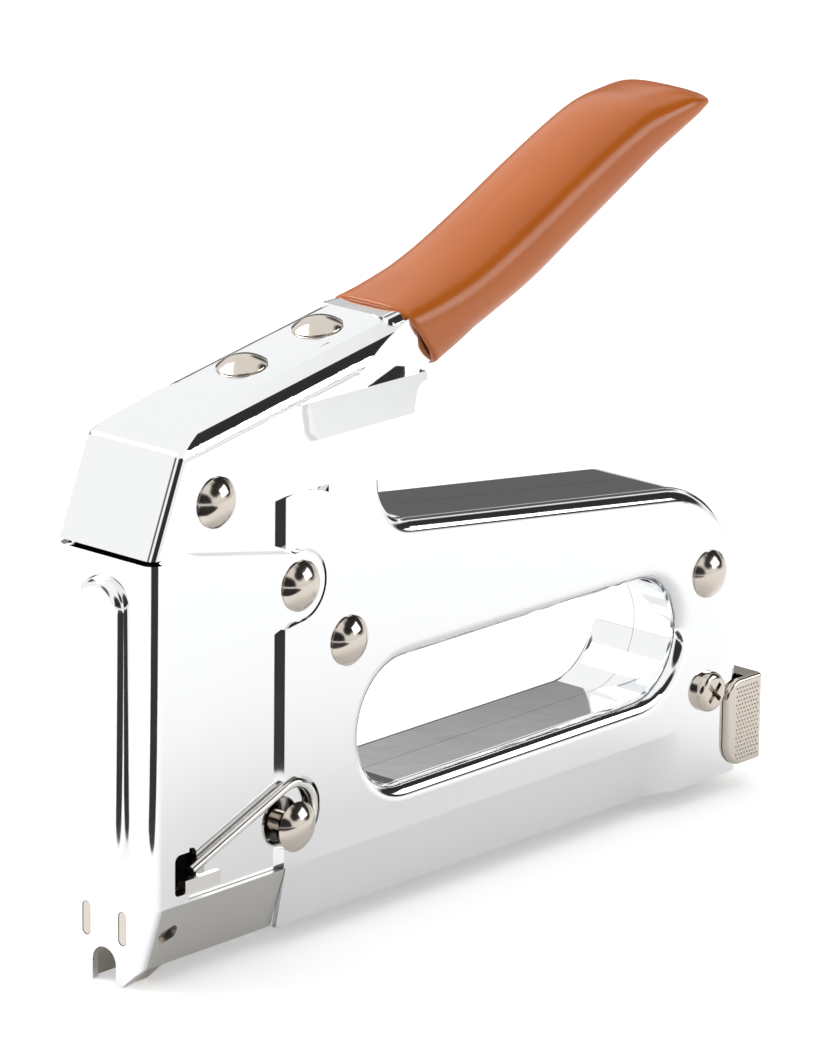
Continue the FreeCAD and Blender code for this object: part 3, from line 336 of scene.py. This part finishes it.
class STAPLEGUN_PG_colours(bpy.types.PropertyGroup):
    chrome: colour_property("Chrome", "Tint of the chrome plate", "#F4F5F6")
    satin: colour_property("Satin zinc", "Tint of the satin zinc plate", "#C9C7C3")
    nickel: colour_property("Warm nickel", "Tint of the rivets, screw and latch", "#D6CDC2")
    bright_nickel: colour_property("Bright nickel", "Tint of the strip keeper", "#E6E3DF")
    steel: colour_property("Oiled steel", "Tint of the hardened parts", "#8C8987")
    spring: colour_property("Spring wire", "Tint of the springs", "#6E6A68")
    staple: colour_property("Staples", "Tint of the staple wire", "#CFD1D3")
    vinyl: colour_property("Vinyl", "Deeper colour of the dipped sleeve", "#B35600")
    vinyl_light: colour_property("Vinyl, light", "Lighter colour of the dipped sleeve", "#BE6206")
    rubber: colour_property("Rubber", "Colour of the bumper", "#161616")
    floor: colour_property("Floor", "Colour of the studio floor", "#F7F7F7")


class STAPLEGUN_PG_sizes(bpy.types.PropertyGroup):
    head_radius: FloatProperty(
        name="Rivet head radius", description="Outside radius of the domed heads",
        default=0.0053, unit="LENGTH")
    head_height: FloatProperty(
        name="Rivet head height", description="Height of the domed heads",
        default=0.0029, unit="LENGTH")
    knurl_pitch: FloatProperty(
        name="Knurl pitch", description="Spacing of the dots on the latch",
        default=0.00095, min=0.0005, unit="LENGTH")
    knurl_height: FloatProperty(
        name="Knurl height", description="How far the dots stand out", default=0.00016, unit="LENGTH")
    staple_count: IntProperty(
        name="Staples", description="Staples in the strip", default=24, min=1)
    staple_pitch: FloatProperty(
        name="Staple pitch", description="Spacing of the staples", default=0.00125, unit="LENGTH")
    sleeve_wall: FloatProperty(
        name="Sleeve wall", description="Thickness of the dipped sleeve", default=0.0016, unit="LENGTH")


# ---- operators ---------------------------------------------------------------------

def dress_nodes(names):
    slots = {part["node"]: part["material_slot"] for part in frame["record"]["subparts"]}
    for name in names:
        dress(frame["nodes"][name], finish_for(slots[name]))


# The handle's channel under the sleeve, in millimetres: the sleeve's lip in side view, how much
# of its section the hidden channel gives up, and where that starts behind the lip
LIP_TOP = (77.0, 124.0)
LIP_SLANT = 0.72
TUCK = 0.24
TUCK_START = 2.0
TUCK_RAMP = 7.0
TUCK_SHORT_FROM = 140.0


def channel_middle(x):
    """Height of the channel's middle line at x, in millimetres."""
    return 118.0 + 0.47 * (min(x, 150.0) - 90.0) + 0.25 * max(0.0, x - 150.0)


class STAPLEGUN_OT_pressings(bpy.types.Operator):
    """Chrome the pressed shells, front cover and handle"""
    bl_idname = "staplegun.pressings"
    bl_label = "Chrome pressings"

    def execute(self, context):
        dress_nodes(["left_shell", "right_shell", "front_cover"])
        # The sleeve is rounder than the channel, so the hidden channel is drawn in under it
        handle = stand_in("handle", "chrome_plate", "squeeze_handle")
        for vertex in handle.data.vertices:
            x, y, z = vertex.co / MM
            behind_lip = x - LIP_TOP[0] - LIP_SLANT * (LIP_TOP[1] - z)
            near = TUCK * min(1.0, max(0.0, (behind_lip - TUCK_START) / TUCK_RAMP))
            middle = channel_middle(x)
            short = near * max(0.0, x - TUCK_SHORT_FROM)
            vertex.co = Vector((x - short, y * (1 - near), z + (middle - z) * near)) * MM
        return {"FINISHED"}


class STAPLEGUN_OT_mechanism(bpy.types.Operator):
    """Finish the steel parts of the nose, magazine and firing mechanism"""
    bl_idname = "staplegun.mechanism"
    bl_label = "Nose, magazine and mechanism"

    def execute(self, context):
        dress_nodes([
            "nose_housing", "nose_guide", "strip_keeper", "spring_stop", "magazine_channel", "lift_lever",
            "front_spacers", "heel_spacers", "rear_spacer", "pusher_rail", "pusher_follower",
            "striker_plunger", "driver_blade", "blade_rivets", "pivot_bush", "bumper",
            "heel_screw", "heel_nut"])
        return {"FINISHED"}


def stand_in(node, slot, body):
    """A copy of a piece whose mesh may be changed, standing in for it."""
    source = frame["nodes"][node]
    mesh = source.data.copy()
    mesh.transform(source.matrix_world)
    copy = mesh_object(node + "_detail", mesh)
    dress(copy, finish_for(slot))
    if body:
        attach(copy, body)
    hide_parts(node)
    return copy


def dome(name, radius, height, neck):
    """A domed rivet head standing on Z = 0, with a short neck below it."""
    rim = 0.35
    ball = (radius * radius + (height - rim) ** 2) / (2 * (height - rim))
    steps = 10
    widest = math.asin(radius / ball)
    arc = []
    for i in range(steps + 1):
        angle = widest * (1 - i / steps)
        arc.append((ball * math.sin(angle), height - ball + ball * math.cos(angle)))
    shank = 2.3
    foot = [(0, -neck), (shank, -neck), (shank, 0.0), (radius - 0.25, 0.0), (radius, 0.2)]
    profile = foot + arc[:-1] + [(0, height)]
    return lathe(name, profile, 48)


def turn_to_facing(tree):
    """Rotation that stands a piece up along its point's facing direction."""
    facing = add(tree, "GeometryNodeInputNamedAttribute", {"data_type": "FLOAT_VECTOR"}, {"Name": "facing"})
    return add(tree, "FunctionNodeAlignRotationToVector", {"axis": "Z"}, {
        "Vector": facing.outputs["Attribute"]})


def rivet_tree():
    tree, entry, leave = node_tree("Rivet heads", [
        ("Head", "NodeSocketObject", None),
        ("Scale", "NodeSocketFloat", 1.0),
        ("Material", "NodeSocketMaterial", None)])
    turn = turn_to_facing(tree)
    head = add(tree, "GeometryNodeObjectInfo", None, {"Object": entry.outputs["Head"]})
    spread = add(tree, "GeometryNodeInstanceOnPoints", None, {
        "Points": entry.outputs["Geometry"], "Instance": head.outputs["Geometry"],
        "Rotation": turn.outputs["Rotation"], "Scale": entry.outputs["Scale"]})
    close_tree(tree, entry, leave, spread.outputs["Instances"])
    return tree


def both_faces(centre, seat):
    x, z = centre
    return [((x, side * seat, z), (0, side, 0)) for side in (LEFT, RIGHT)]


class STAPLEGUN_OT_rivets(bpy.types.Operator):
    """Set the domed rivets in the body and the handle"""
    bl_idname = "staplegun.rivets"
    bl_label = "Rivets"

    def execute(self, context):
        sizes = context.scene.staple_gun_sizes
        radius, height = sizes.head_radius / MM, sizes.head_height / MM
        body_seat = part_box("body_rivets")[1][1] / MM
        pivot_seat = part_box("pivot_rivet")[1][1] / MM - height
        handle_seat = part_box("handle_rivet")[1][1] / MM - height
        head = mesh_object("head_form", dome("head_form", radius, height, 1.5))
        flat_head = mesh_object("flat_head_form", dome("flat_head_form", radius, 2.3, 1.5))
        up = Vector((-RIDGE_SLOPE, 0, 1)).normalized()
        tree = rivet_tree()
        body = [place for centre in BODY_RIVETS for place in both_faces(centre, pivot_seat)]
        body += both_faces(FRONT_RIVET, body_seat - height)
        ridge = [((x, 0, z), up) for x, z in RIDGE_RIVETS]
        jobs = [
            ("rivets_body", body, head, "frame", "body_rivets"),
            ("rivet_pivot", both_faces(PIVOT, pivot_seat), head, "frame", "pivot_rivet"),
            ("rivet_handle", both_faces(HANDLE_RIVET, handle_seat), head, "squeeze_handle", "handle_rivet"),
            ("rivets_ridge", ridge, flat_head, "squeeze_handle", "top_rivets"),
        ]
        for name, places, form, body_name, node in jobs:
            piece = baked(name, point_mesh(name, places), tree, {
                "Head": form, "Scale": 1.0, "Material": finish_for("warm_nickel")})
            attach(piece, body_name)
            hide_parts(node)
        for form in (head, flat_head):
            bpy.data.objects.remove(form)
        return {"FINISHED"}


# Side view of the sleeve: its upper and lower line and its half width, in millimetres
SLEEVE = (
    ((76.9, 123.6), (88.0, 109.2), 11.9),
    ((85.6, 125.8), (95.2, 111.6), 12.0),
    ((99.3, 130.5), (105.4, 115.4), 12.0),
    ((111.9, 136.3), (118.0, 120.4), 12.0),
    ((127.0, 143.8), (132.9, 128.2), 12.0),
    ((140.8, 150.2), (147.0, 135.6), 12.0),
    ((150.4, 153.6), (156.6, 140.8), 12.0),
    ((159.0, 154.6), (163.8, 144.6), 11.95),
    ((166.2, 154.8), (169.0, 147.4), 11.6),
    ((171.4, 153.4), (172.2, 149.6), 10.6),
)
SLEEVE_TIP = (173.9, 151.4)


# Power of the section's superellipse, what the lip adds to it, and over how many stations
SLEEVE_SQUARE = 2.5
LIP_SQUARE = 1.1
LIP_STEPS = 1.5


def spline(values, t):
    """Smooth curve through evenly spaced values, at t counted in steps."""
    last = len(values) - 1
    i = min(int(t), last - 1)
    f = t - i
    p0, p1 = values[max(i - 1, 0)], values[i]
    p2, p3 = values[i + 1], values[min(i + 2, last)]
    return 0.5 * (2 * p1 + (p2 - p0) * f + (2 * p0 - 5 * p1 + 4 * p2 - p3) * f * f
                  + (3 * p1 - p0 - 3 * p2 + p3) * f ** 3)


def sleeve_ring(t, inset, count=64):
    """Points of one cross-section, inset from the outside, in millimetres."""
    top = Vector([spline([s[0][k] for s in SLEEVE], t) for k in (0, 1)])
    low = Vector([spline([s[1][k] for s in SLEEVE], t) for k in (0, 1)])
    half = spline([s[2] for s in SLEEVE], t) - inset
    middle = (top + low) / 2
    rise = (top - low) / 2
    rise *= (rise.length - inset) / rise.length
    square = SLEEVE_SQUARE + LIP_SQUARE * max(0.0, 1.0 - t / LIP_STEPS)
    ring = []
    for i in range(count):
        angle = 2 * math.pi * i / count
        c, s = math.cos(angle), math.sin(angle)
        across = math.copysign(abs(c) ** (2 / square), c)
        along = math.copysign(abs(s) ** (2 / square), s)
        spot = middle + rise * along
        ring.append((spot[0], half * across, spot[1]))
    return ring


class STAPLEGUN_OT_sleeve(bpy.types.Operator):
    """Draw the dipped vinyl sleeve over the handle"""
    bl_idname = "staplegun.sleeve"
    bl_label = "Vinyl sleeve"

    def execute(self, context):
        wall = context.scene.staple_gun_sizes.sleeve_wall / MM
        last = len(SLEEVE) - 1
        fine = 6
        # The sleeve closes round the channel just inside its lip
        rings = [sleeve_ring(1 / fine, wall)]
        for step in range(9):
            turn = math.pi * step / 8
            inset = wall / 2 * (1 + math.cos(turn))
            ring = sleeve_ring(0, inset)
            push = wall / 2 * math.sin(turn)
            rings.append([(x - push * 0.9, y, z - push * 0.35) for x, y, z in ring])
        for i in range(1, last * fine + 1):
            rings.append(sleeve_ring(i / fine, 0.0))
        shape = bmesh.new()
        loops = [[shape.verts.new(Vector(p) * MM) for p in ring] for ring in rings]
        for low, high in zip(loops, loops[1:]):
            for i in range(len(low)):
                j = (i + 1) % len(low)
                shape.faces.new((low[i], low[j], high[j], high[i]))
        lip_centre = sum((v.co for v in loops[0]), Vector()) / len(loops[0])
        tip_centre = Vector((SLEEVE_TIP[0], 0, SLEEVE_TIP[1])) * MM
        for loop, middle in ((loops[0], lip_centre), (loops[-1], tip_centre)):
            pole = shape.verts.new(middle)
            for i in range(len(loop)):
                shape.faces.new((loop[i], loop[(i + 1) % len(loop)], pole))
        bmesh.ops.recalc_face_normals(shape, faces=shape.faces)
        mesh = bpy.data.meshes.new("grip_sleeve")
        shape.to_mesh(mesh)
        shape.free()
        mesh.shade_smooth()
        sleeve = mesh_object("grip_sleeve", mesh)
        dress(sleeve, finish_for("orange_vinyl"))
        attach(sleeve, "squeeze_handle")
        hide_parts("grip")
        return {"FINISHED"}


def knurl_tree():
    tree, entry, leave = node_tree("Knurl dots", [
        ("Radius", "NodeSocketFloat", 0.0003),
        ("Height", "NodeSocketFloat", 0.00015),
        ("Material", "NodeSocketMaterial", None)])
    turn = turn_to_facing(tree)
    dot = add(tree, "GeometryNodeMeshCone", None, {
        "Vertices": 6, "Radius Top": 0.00012, "Radius Bottom": entry.outputs["Radius"],
        "Depth": entry.outputs["Height"]})
    spread = add(tree, "GeometryNodeInstanceOnPoints", None, {
        "Points": entry.outputs["Geometry"], "Instance": dot.outputs["Mesh"],
        "Rotation": turn.outputs["Rotation"]})
    close_tree(tree, entry, leave, spread.outputs["Instances"])
    return tree


class STAPLEGUN_OT_knurl(bpy.types.Operator):
    """Cover the latch with fine raised dots"""
    bl_idname = "staplegun.knurl"
    bl_label = "Latch knurling"

    def execute(self, context):
        pitch = context.scene.staple_gun_sizes.knurl_pitch / MM
        low, high = [[value / MM for value in corner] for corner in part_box("latch_head")]
        margin = 1.6
        proud = context.scene.staple_gun_sizes.knurl_height / MM
        latch = stand_in("latch_head", "warm_nickel", "magazine")
        for vertex in latch.data.vertices:
            if vertex.co.x / MM > high[0] - 0.02:
                vertex.co.x -= proud * MM
        places = []
        rows = int((high[2] - low[2] - 2 * margin) / pitch)
        for row in range(rows + 1):
            z = low[2] + margin + row * pitch
            shift = pitch / 2 * (row % 2)
            across = int((high[1] - low[1] - 2 * margin) / pitch)
            for i in range(across):
                places.append(((high[0] - proud, low[1] + margin + shift + i * pitch, z), (1, 0, 0)))
            wing = int((high[0] - low[0] - 2.4 * margin) / pitch)
            for i in range(wing):
                x = high[0] - margin - shift - i * pitch
                corner = max(0.0, (low[0] + 6.5) - x)
                edge = max(0.0, abs(z - (low[2] + high[2]) / 2) - 4.5)
                if math.hypot(corner, edge) > 6.0:
                    continue
                for side in (LEFT, RIGHT):
                    places.append(((x, side * high[1], z), (0, side, 0)))
        dots = baked("latch_knurl", point_mesh("latch_knurl", places), knurl_tree(), {
            "Radius": 0.00034, "Height": proud * MM, "Material": finish_for("warm_nickel")})
        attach(dots, "magazine")
        return {"FINISHED"}


def coil_tree():
    tree, entry, leave = node_tree("Coil spring", [
        ("Turns", "NodeSocketFloat", 5.0),
        ("Radius", "NodeSocketFloat", 0.0072),
        ("Length", "NodeSocketFloat", 0.03),
        ("Wire radius", "NodeSocketFloat", 0.0012),
        ("Resolution", "NodeSocketInt", 32),
        ("Material", "NodeSocketMaterial", None)])
    spiral = add(tree, "GeometryNodeCurveSpiral", None, {
        "Resolution": entry.outputs["Resolution"], "Rotations": entry.outputs["Turns"],
        "Start Radius": entry.outputs["Radius"], "End Radius": entry.outputs["Radius"],
        "Height": entry.outputs["Length"]})
    ring = add(tree, "GeometryNodeCurvePrimitiveCircle", None, {
        "Resolution": 12, "Radius": entry.outputs["Wire radius"]})
    wire = add(tree, "GeometryNodeCurveToMesh", None, {
        "Curve": spiral.outputs["Curve"], "Profile Curve": ring.outputs["Curve"], "Fill Caps": True})
    smooth = add(tree, "GeometryNodeSetShadeSmooth", None, {"Geometry": wire.outputs["Mesh"]})
    close_tree(tree, entry, leave, smooth.outputs["Geometry"])
    return tree


def tube_along(name, points, radius):
    """A round wire through points in millimetres, as a plain mesh."""
    curve = bpy.data.curves.new(name, "CURVE")
    curve.dimensions = "3D"
    curve.bevel_depth = radius * MM
    curve.bevel_resolution = 4
    curve.use_fill_caps = True
    line = curve.splines.new("NURBS")
    line.points.add(len(points) - 1)
    for spot, point in zip(line.points, points):
        spot.co = (*(Vector(point) * MM), 1.0)
    line.order_u = 3
    line.use_endpoint_u = True
    line.resolution_u = 6
    holder = place(bpy.data.objects.new(name, curve))
    graph = bpy.context.evaluated_depsgraph_get()
    mesh = bpy.data.meshes.new_from_object(holder.evaluated_get(graph), depsgraph=graph)
    bpy.data.objects.remove(holder)
    mesh.name = name
    mesh.shade_smooth()
    return mesh


class STAPLEGUN_OT_springs(bpy.types.Operator):
    """Wind the power and pusher springs, and finish the return and keeper springs"""
    bl_idname = "staplegun.springs"
    bl_label = "Springs"

    def execute(self, context):
        steel = finish_for("spring_steel")
        tree = coil_tree()
        low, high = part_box("power_spring")
        wire = 0.0012
        power = baked("power_coil", bpy.data.meshes.new("power_coil"), tree, {
            "Turns": 5.0, "Radius": 0.0072, "Length": high[2] - low[2] - 2 * wire,
            "Wire radius": wire, "Resolution": 40, "Material": steel})
        power.data.transform(Matrix.Translation(((low[0] + high[0]) / 2, 0, low[2] + wire)))
        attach(power, "frame")
        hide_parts("power_spring")
        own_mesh(power)

        low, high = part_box("pusher_spring")
        pusher = baked("pusher_coil", bpy.data.meshes.new("pusher_coil"), tree, {
            "Turns": 47.0, "Radius": 0.0009, "Length": high[0] - low[0] - 0.0004,
            "Wire radius": 0.000175, "Resolution": 16, "Material": steel})
        start = Matrix.Translation((low[0] + 0.0002, 0, (low[2] + high[2]) / 2))
        pusher.data.transform(start @ Matrix.Rotation(math.pi / 2, 4, "Y"))
        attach(pusher, "magazine")
        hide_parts("pusher_spring")
        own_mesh(pusher)
        dress_nodes(["return_spring"])

        # Each keeper wire is held in its coil; here the wires are copied as one piece on no body
        wires = stand_in("keeper_springs", "bright_nickel", None)
        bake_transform(wires)
        return {"FINISHED"}


def staple_mesh():
    """One staple with its crown at the origin, square-shouldered, of round wire."""
    half, drop, bend = 3.0, 8.9, 1.3
    near = bend * (1 - math.sqrt(0.5))
    points = [
        (0, -half, -drop), (0, -half, -drop / 2), (0, -half, -bend), (0, -half + near, -near),
        (0, -half + bend, 0), (0, 0, 0), (0, half - bend, 0), (0, half - near, -near),
        (0, half, -bend), (0, half, -drop / 2), (0, half, -drop)]
    return tube_along("staple_form", points, 0.58)


class STAPLEGUN_OT_staples(bpy.types.Operator):
    """Lay the strip of staples in the track"""
    bl_idname = "staplegun.staples"
    bl_label = "Staple strip"

    def execute(self, context):
        sizes = context.scene.staple_gun_sizes
        low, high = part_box("staple_strip")
        form = mesh_object("staple_form", staple_mesh())
        tree, entry, leave = node_tree("Staple strip", [
            ("Staple", "NodeSocketObject", None),
            ("Count", "NodeSocketInt", 24),
            ("Pitch", "NodeSocketVector", (0.00125, 0, 0)),
            ("Start", "NodeSocketVector", (0.0, 0.0, 0.0)),
            ("Material", "NodeSocketMaterial", None)])
        line = add(tree, "GeometryNodeMeshLine", None, {
            "Count": entry.outputs["Count"], "Start Location": entry.outputs["Start"],
            "Offset": entry.outputs["Pitch"]})
        staple = add(tree, "GeometryNodeObjectInfo", None, {"Object": entry.outputs["Staple"]})
        spread = add(tree, "GeometryNodeInstanceOnPoints", None, {
            "Points": line.outputs["Mesh"], "Instance": staple.outputs["Geometry"]})
        close_tree(tree, entry, leave, spread.outputs["Instances"])
        strip = baked("staples", bpy.data.meshes.new("staples"), tree, {
            "Staple": form, "Count": sizes.staple_count, "Pitch": (sizes.staple_pitch, 0.0, 0.0),
            "Start": (low[0] + 0.0006, 0.0, high[2] - 0.0006), "Material": finish_for("zinc_wire")})
        bpy.data.objects.remove(form)
        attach(strip, "frame")
        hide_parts("staple_strip")
        return {"FINISHED"}


# Camera place in millimetres, its turn round the tool, and its long lens
CAMERA_SPOT = (-900.1, -892.7, 465.9)
CAMERA_AZIMUTH = -48.0057
CAMERA_ELEVATION = 16.4714
CAMERA_ROLL = 0.6661
CAMERA_LENS = 227.1


def studio_camera():
    a, e = math.radians(CAMERA_AZIMUTH), math.radians(CAMERA_ELEVATION)
    back = Vector((math.sin(a) * math.cos(e), -math.cos(a) * math.cos(e), math.sin(e)))
    right = Vector((math.cos(a), math.sin(a), 0))
    up = back.cross(right)
    turn = Matrix((right, up, back)).transposed().to_4x4()
    roll = Matrix.Rotation(math.radians(CAMERA_ROLL), 4, "Z")
    lens = bpy.data.cameras.new("studio_camera")
    lens.lens = CAMERA_LENS
    lens.clip_start = 0.05
    camera = place(bpy.data.objects.new("studio_camera", lens))
    camera.matrix_world = Matrix.Translation(Vector(CAMERA_SPOT) * MM) @ turn @ roll
    bpy.context.scene.camera = camera


def lobe(tree, direction, centre, inner, outer):
    """1 near a direction and 0 away from it, between two angles in degrees."""
    dot = add(tree, "ShaderNodeVectorMath", {"operation": "DOT_PRODUCT"}, {
        0: direction, 1: Vector(centre).normalized()})
    return add(tree, "ShaderNodeMapRange", {"interpolation_type": "SMOOTHSTEP"}, {
        "Value": dot.outputs["Value"], "From Min": math.cos(math.radians(outer)),
        "From Max": math.cos(math.radians(inner)), "To Min": 0.0, "To Max": 1.0}).outputs["Result"]


# Dark gaps between the studio's white panels: direction, inner and outer angle in degrees, depth
DARK_GAPS = (
    ((0.71, -0.42, 0.48), 26, 33, 1.0),
    ((0.30, -0.72, 0.62), 14, 24, 1.0),
    ((0.80, 0.36, 0.48), 8, 13, 0.92),
    ((0.76, 0.64, 0.06), 12, 19, 0.9),
    ((0.05, -0.85, 0.50), 10, 20, 1.0),
    ((0.40, 0.90, 0.06), 8, 15, 0.9),
    ((0.98, 0.20, 0.05), 8, 14, 1.0),
    ((-0.66, -0.72, 0.05), 24, 34, 1.0),
    ((-0.95, 0.30, 0.30), 8, 16, 0.9),
    ((-0.30, 0.90, 0.45), 8, 15, 0.9),
)

# Painted reflection: black cards lying on the floor, seen only in the chrome and hidden from the camera, the
# light and the shadows; corners in metres
PAINTED_REFLECTION_CARDS = (
    ((-0.035, -0.10), (-0.10, -0.035), (-0.52, -0.50), (-0.12, -0.66), (0.08, -0.34)),
)


def painted_reflection_cards(level):
    # Painted reflection: near-black sheets that only glossy rays see, so the chrome shows dark where it
    # would mirror the white floor
    material, tree, shader = new_material("painted reflection card")
    shader.inputs["Base Color"].default_value = linear("#0A0A0B")
    shader.inputs["Roughness"].default_value = 0.9
    for i, corners in enumerate(PAINTED_REFLECTION_CARDS):
        mesh = bpy.data.meshes.new("black_card")
        mesh.from_pydata([(x, y, level) for x, y in corners], [], [tuple(range(len(corners)))])
        card = mesh_object("black_card", mesh)
        dress(card, material)
        card.visible_camera = False
        card.visible_diffuse = False
        card.visible_shadow = False


def studio_world():
    world = bpy.data.worlds.new("studio")
    bpy.context.scene.world = world
    world.use_nodes = True
    tree = world.node_tree
    tree.nodes.clear()
    direction = add(tree, "ShaderNodeTexCoord").outputs["Generated"]
    light = None
    for centre, inner, outer, depth in DARK_GAPS:
        gap = lobe(tree, direction, centre, inner, outer)
        dark = add(tree, "ShaderNodeMath", {"operation": "MULTIPLY"}, {0: gap, 1: depth}).outputs[0]
        keep = add(tree, "ShaderNodeMath", {"operation": "SUBTRACT"}, {0: 1.0, 1: dark}).outputs[0]
        if light is None:
            light = keep
        else:
            light = add(tree, "ShaderNodeMath", {"operation": "MULTIPLY"}, {0: light, 1: keep}).outputs[0]
    level = add(tree, "ShaderNodeMapRange", None, {
        "Value": light, "From Min": 0.0, "From Max": 1.0, "To Min": 0.03, "To Max": 1.0})
    studio = add(tree, "ShaderNodeBackground", None, {
        "Color": level.outputs["Result"], "Strength": 1.0})
    plain = add(tree, "ShaderNodeBackground", None, {"Color": linear("#FAFAFA"), "Strength": 1.1})
    seen = add(tree, "ShaderNodeLightPath").outputs["Is Camera Ray"]
    both = add(tree, "ShaderNodeMixShader", None, {
        0: seen, 1: studio.outputs["Background"], 2: plain.outputs["Background"]})
    add(tree, "ShaderNodeOutputWorld", None, {"Surface": both.outputs["Shader"]})


def soft_light(name, spot, aim, size, power):
    data = bpy.data.lights.new(name, "AREA")
    data.shape = "RECTANGLE"
    data.size, data.size_y = size
    data.energy = power
    light = place(bpy.data.objects.new(name, data))
    towards = Vector(aim) - Vector(spot)
    light.matrix_world = Matrix.Translation(spot) @ towards.to_track_quat("-Z", "Y").to_matrix().to_4x4()


# The floor's glow in reflections and to the camera
GLOW_REFLECTED = 0.07
GLOW_SEEN = 0.4


class STAPLEGUN_OT_stage(bpy.types.Operator):
    """Set the pale floor, the soft light and the camera"""
    bl_idname = "staplegun.stage"
    bl_label = "Studio stage"

    def execute(self, context):
        reach = 4.0
        level = CAD_BOX[0][2] - 0.0002
        mesh = bpy.data.meshes.new("studio_floor")
        mesh.from_pydata(
            [(-reach, -reach, level), (reach, -reach, level), (reach, reach, level), (-reach, reach, level)],
            [], [(0, 1, 2, 3)])
        floor = mesh_object("studio_floor", mesh)
        material, tree, shader = new_material("pale floor")
        shader.inputs["Base Color"].default_value = context.scene.staple_gun_colours.floor
        shader.inputs["Roughness"].default_value = 0.9
        shader.inputs["Emission Color"].default_value = (1.0, 1.0, 1.0, 1.0)
        seen = add(tree, "ShaderNodeLightPath").outputs["Is Camera Ray"]
        glow = add(tree, "ShaderNodeMapRange", None, {
            "Value": seen, "To Min": GLOW_REFLECTED, "To Max": GLOW_SEEN})
        tree.links.new(glow.outputs["Result"], shader.inputs["Emission Strength"])
        dress(floor, material)
        # Painted reflection: the dark cards appear only in the chrome
        painted_reflection_cards(level + 0.0001)
        studio_world()
        studio_camera()
        middle = (0.09, 0.0, 0.08)
        soft_light("key_softbox", (-0.35, 0.75, 1.0), middle, (0.9, 0.6), 9.0)
        soft_light("fill_softbox", (0.9, -0.9, 0.55), middle, (0.8, 0.5), 4.0)
        context.scene.view_settings.view_transform = "Standard"
        return {"FINISHED"}


class STAPLEGUN_PT_panel(bpy.types.Panel):
    bl_label = "Staple Gun"
    bl_idname = "STAPLEGUN_PT_panel"
    bl_space_type = "VIEW_3D"
    bl_region_type = "UI"
    bl_category = "Staple Gun"

    def draw(self, context):
        layout = self.layout
        for group in (context.scene.staple_gun_sizes, context.scene.staple_gun_colours):
            for key in group.__annotations__:
                layout.prop(group, key)
        for operator in OPERATORS:
            layout.operator(operator.bl_idname)


OPERATORS = (
    STAPLEGUN_OT_pressings,
    STAPLEGUN_OT_mechanism,
    STAPLEGUN_OT_rivets,
    STAPLEGUN_OT_sleeve,
    STAPLEGUN_OT_knurl,
    STAPLEGUN_OT_springs,
    STAPLEGUN_OT_staples,
    STAPLEGUN_OT_stage,
)
CLASSES = (STAPLEGUN_PG_colours, STAPLEGUN_PG_sizes) + OPERATORS + (STAPLEGUN_PT_panel,)


def register():
    for cls in CLASSES:
        bpy.utils.register_class(cls)
    bpy.types.Scene.staple_gun_colours = PointerProperty(type=STAPLEGUN_PG_colours)
    bpy.types.Scene.staple_gun_sizes = PointerProperty(type=STAPLEGUN_PG_sizes)


def unregister():
    del bpy.types.Scene.staple_gun_sizes
    del bpy.types.Scene.staple_gun_colours
    for cls in reversed(CLASSES):
        bpy.utils.unregister_class(cls)


def main():
    register()
    bpy.ops.staplegun.pressings()
    bpy.ops.staplegun.mechanism()
    bpy.ops.staplegun.rivets()
    bpy.ops.staplegun.sleeve()
    bpy.ops.staplegun.knurl()
    bpy.ops.staplegun.springs()
    bpy.ops.staplegun.staples()
    bpy.ops.staplegun.stage()


if __name__ == "__main__":
    main()
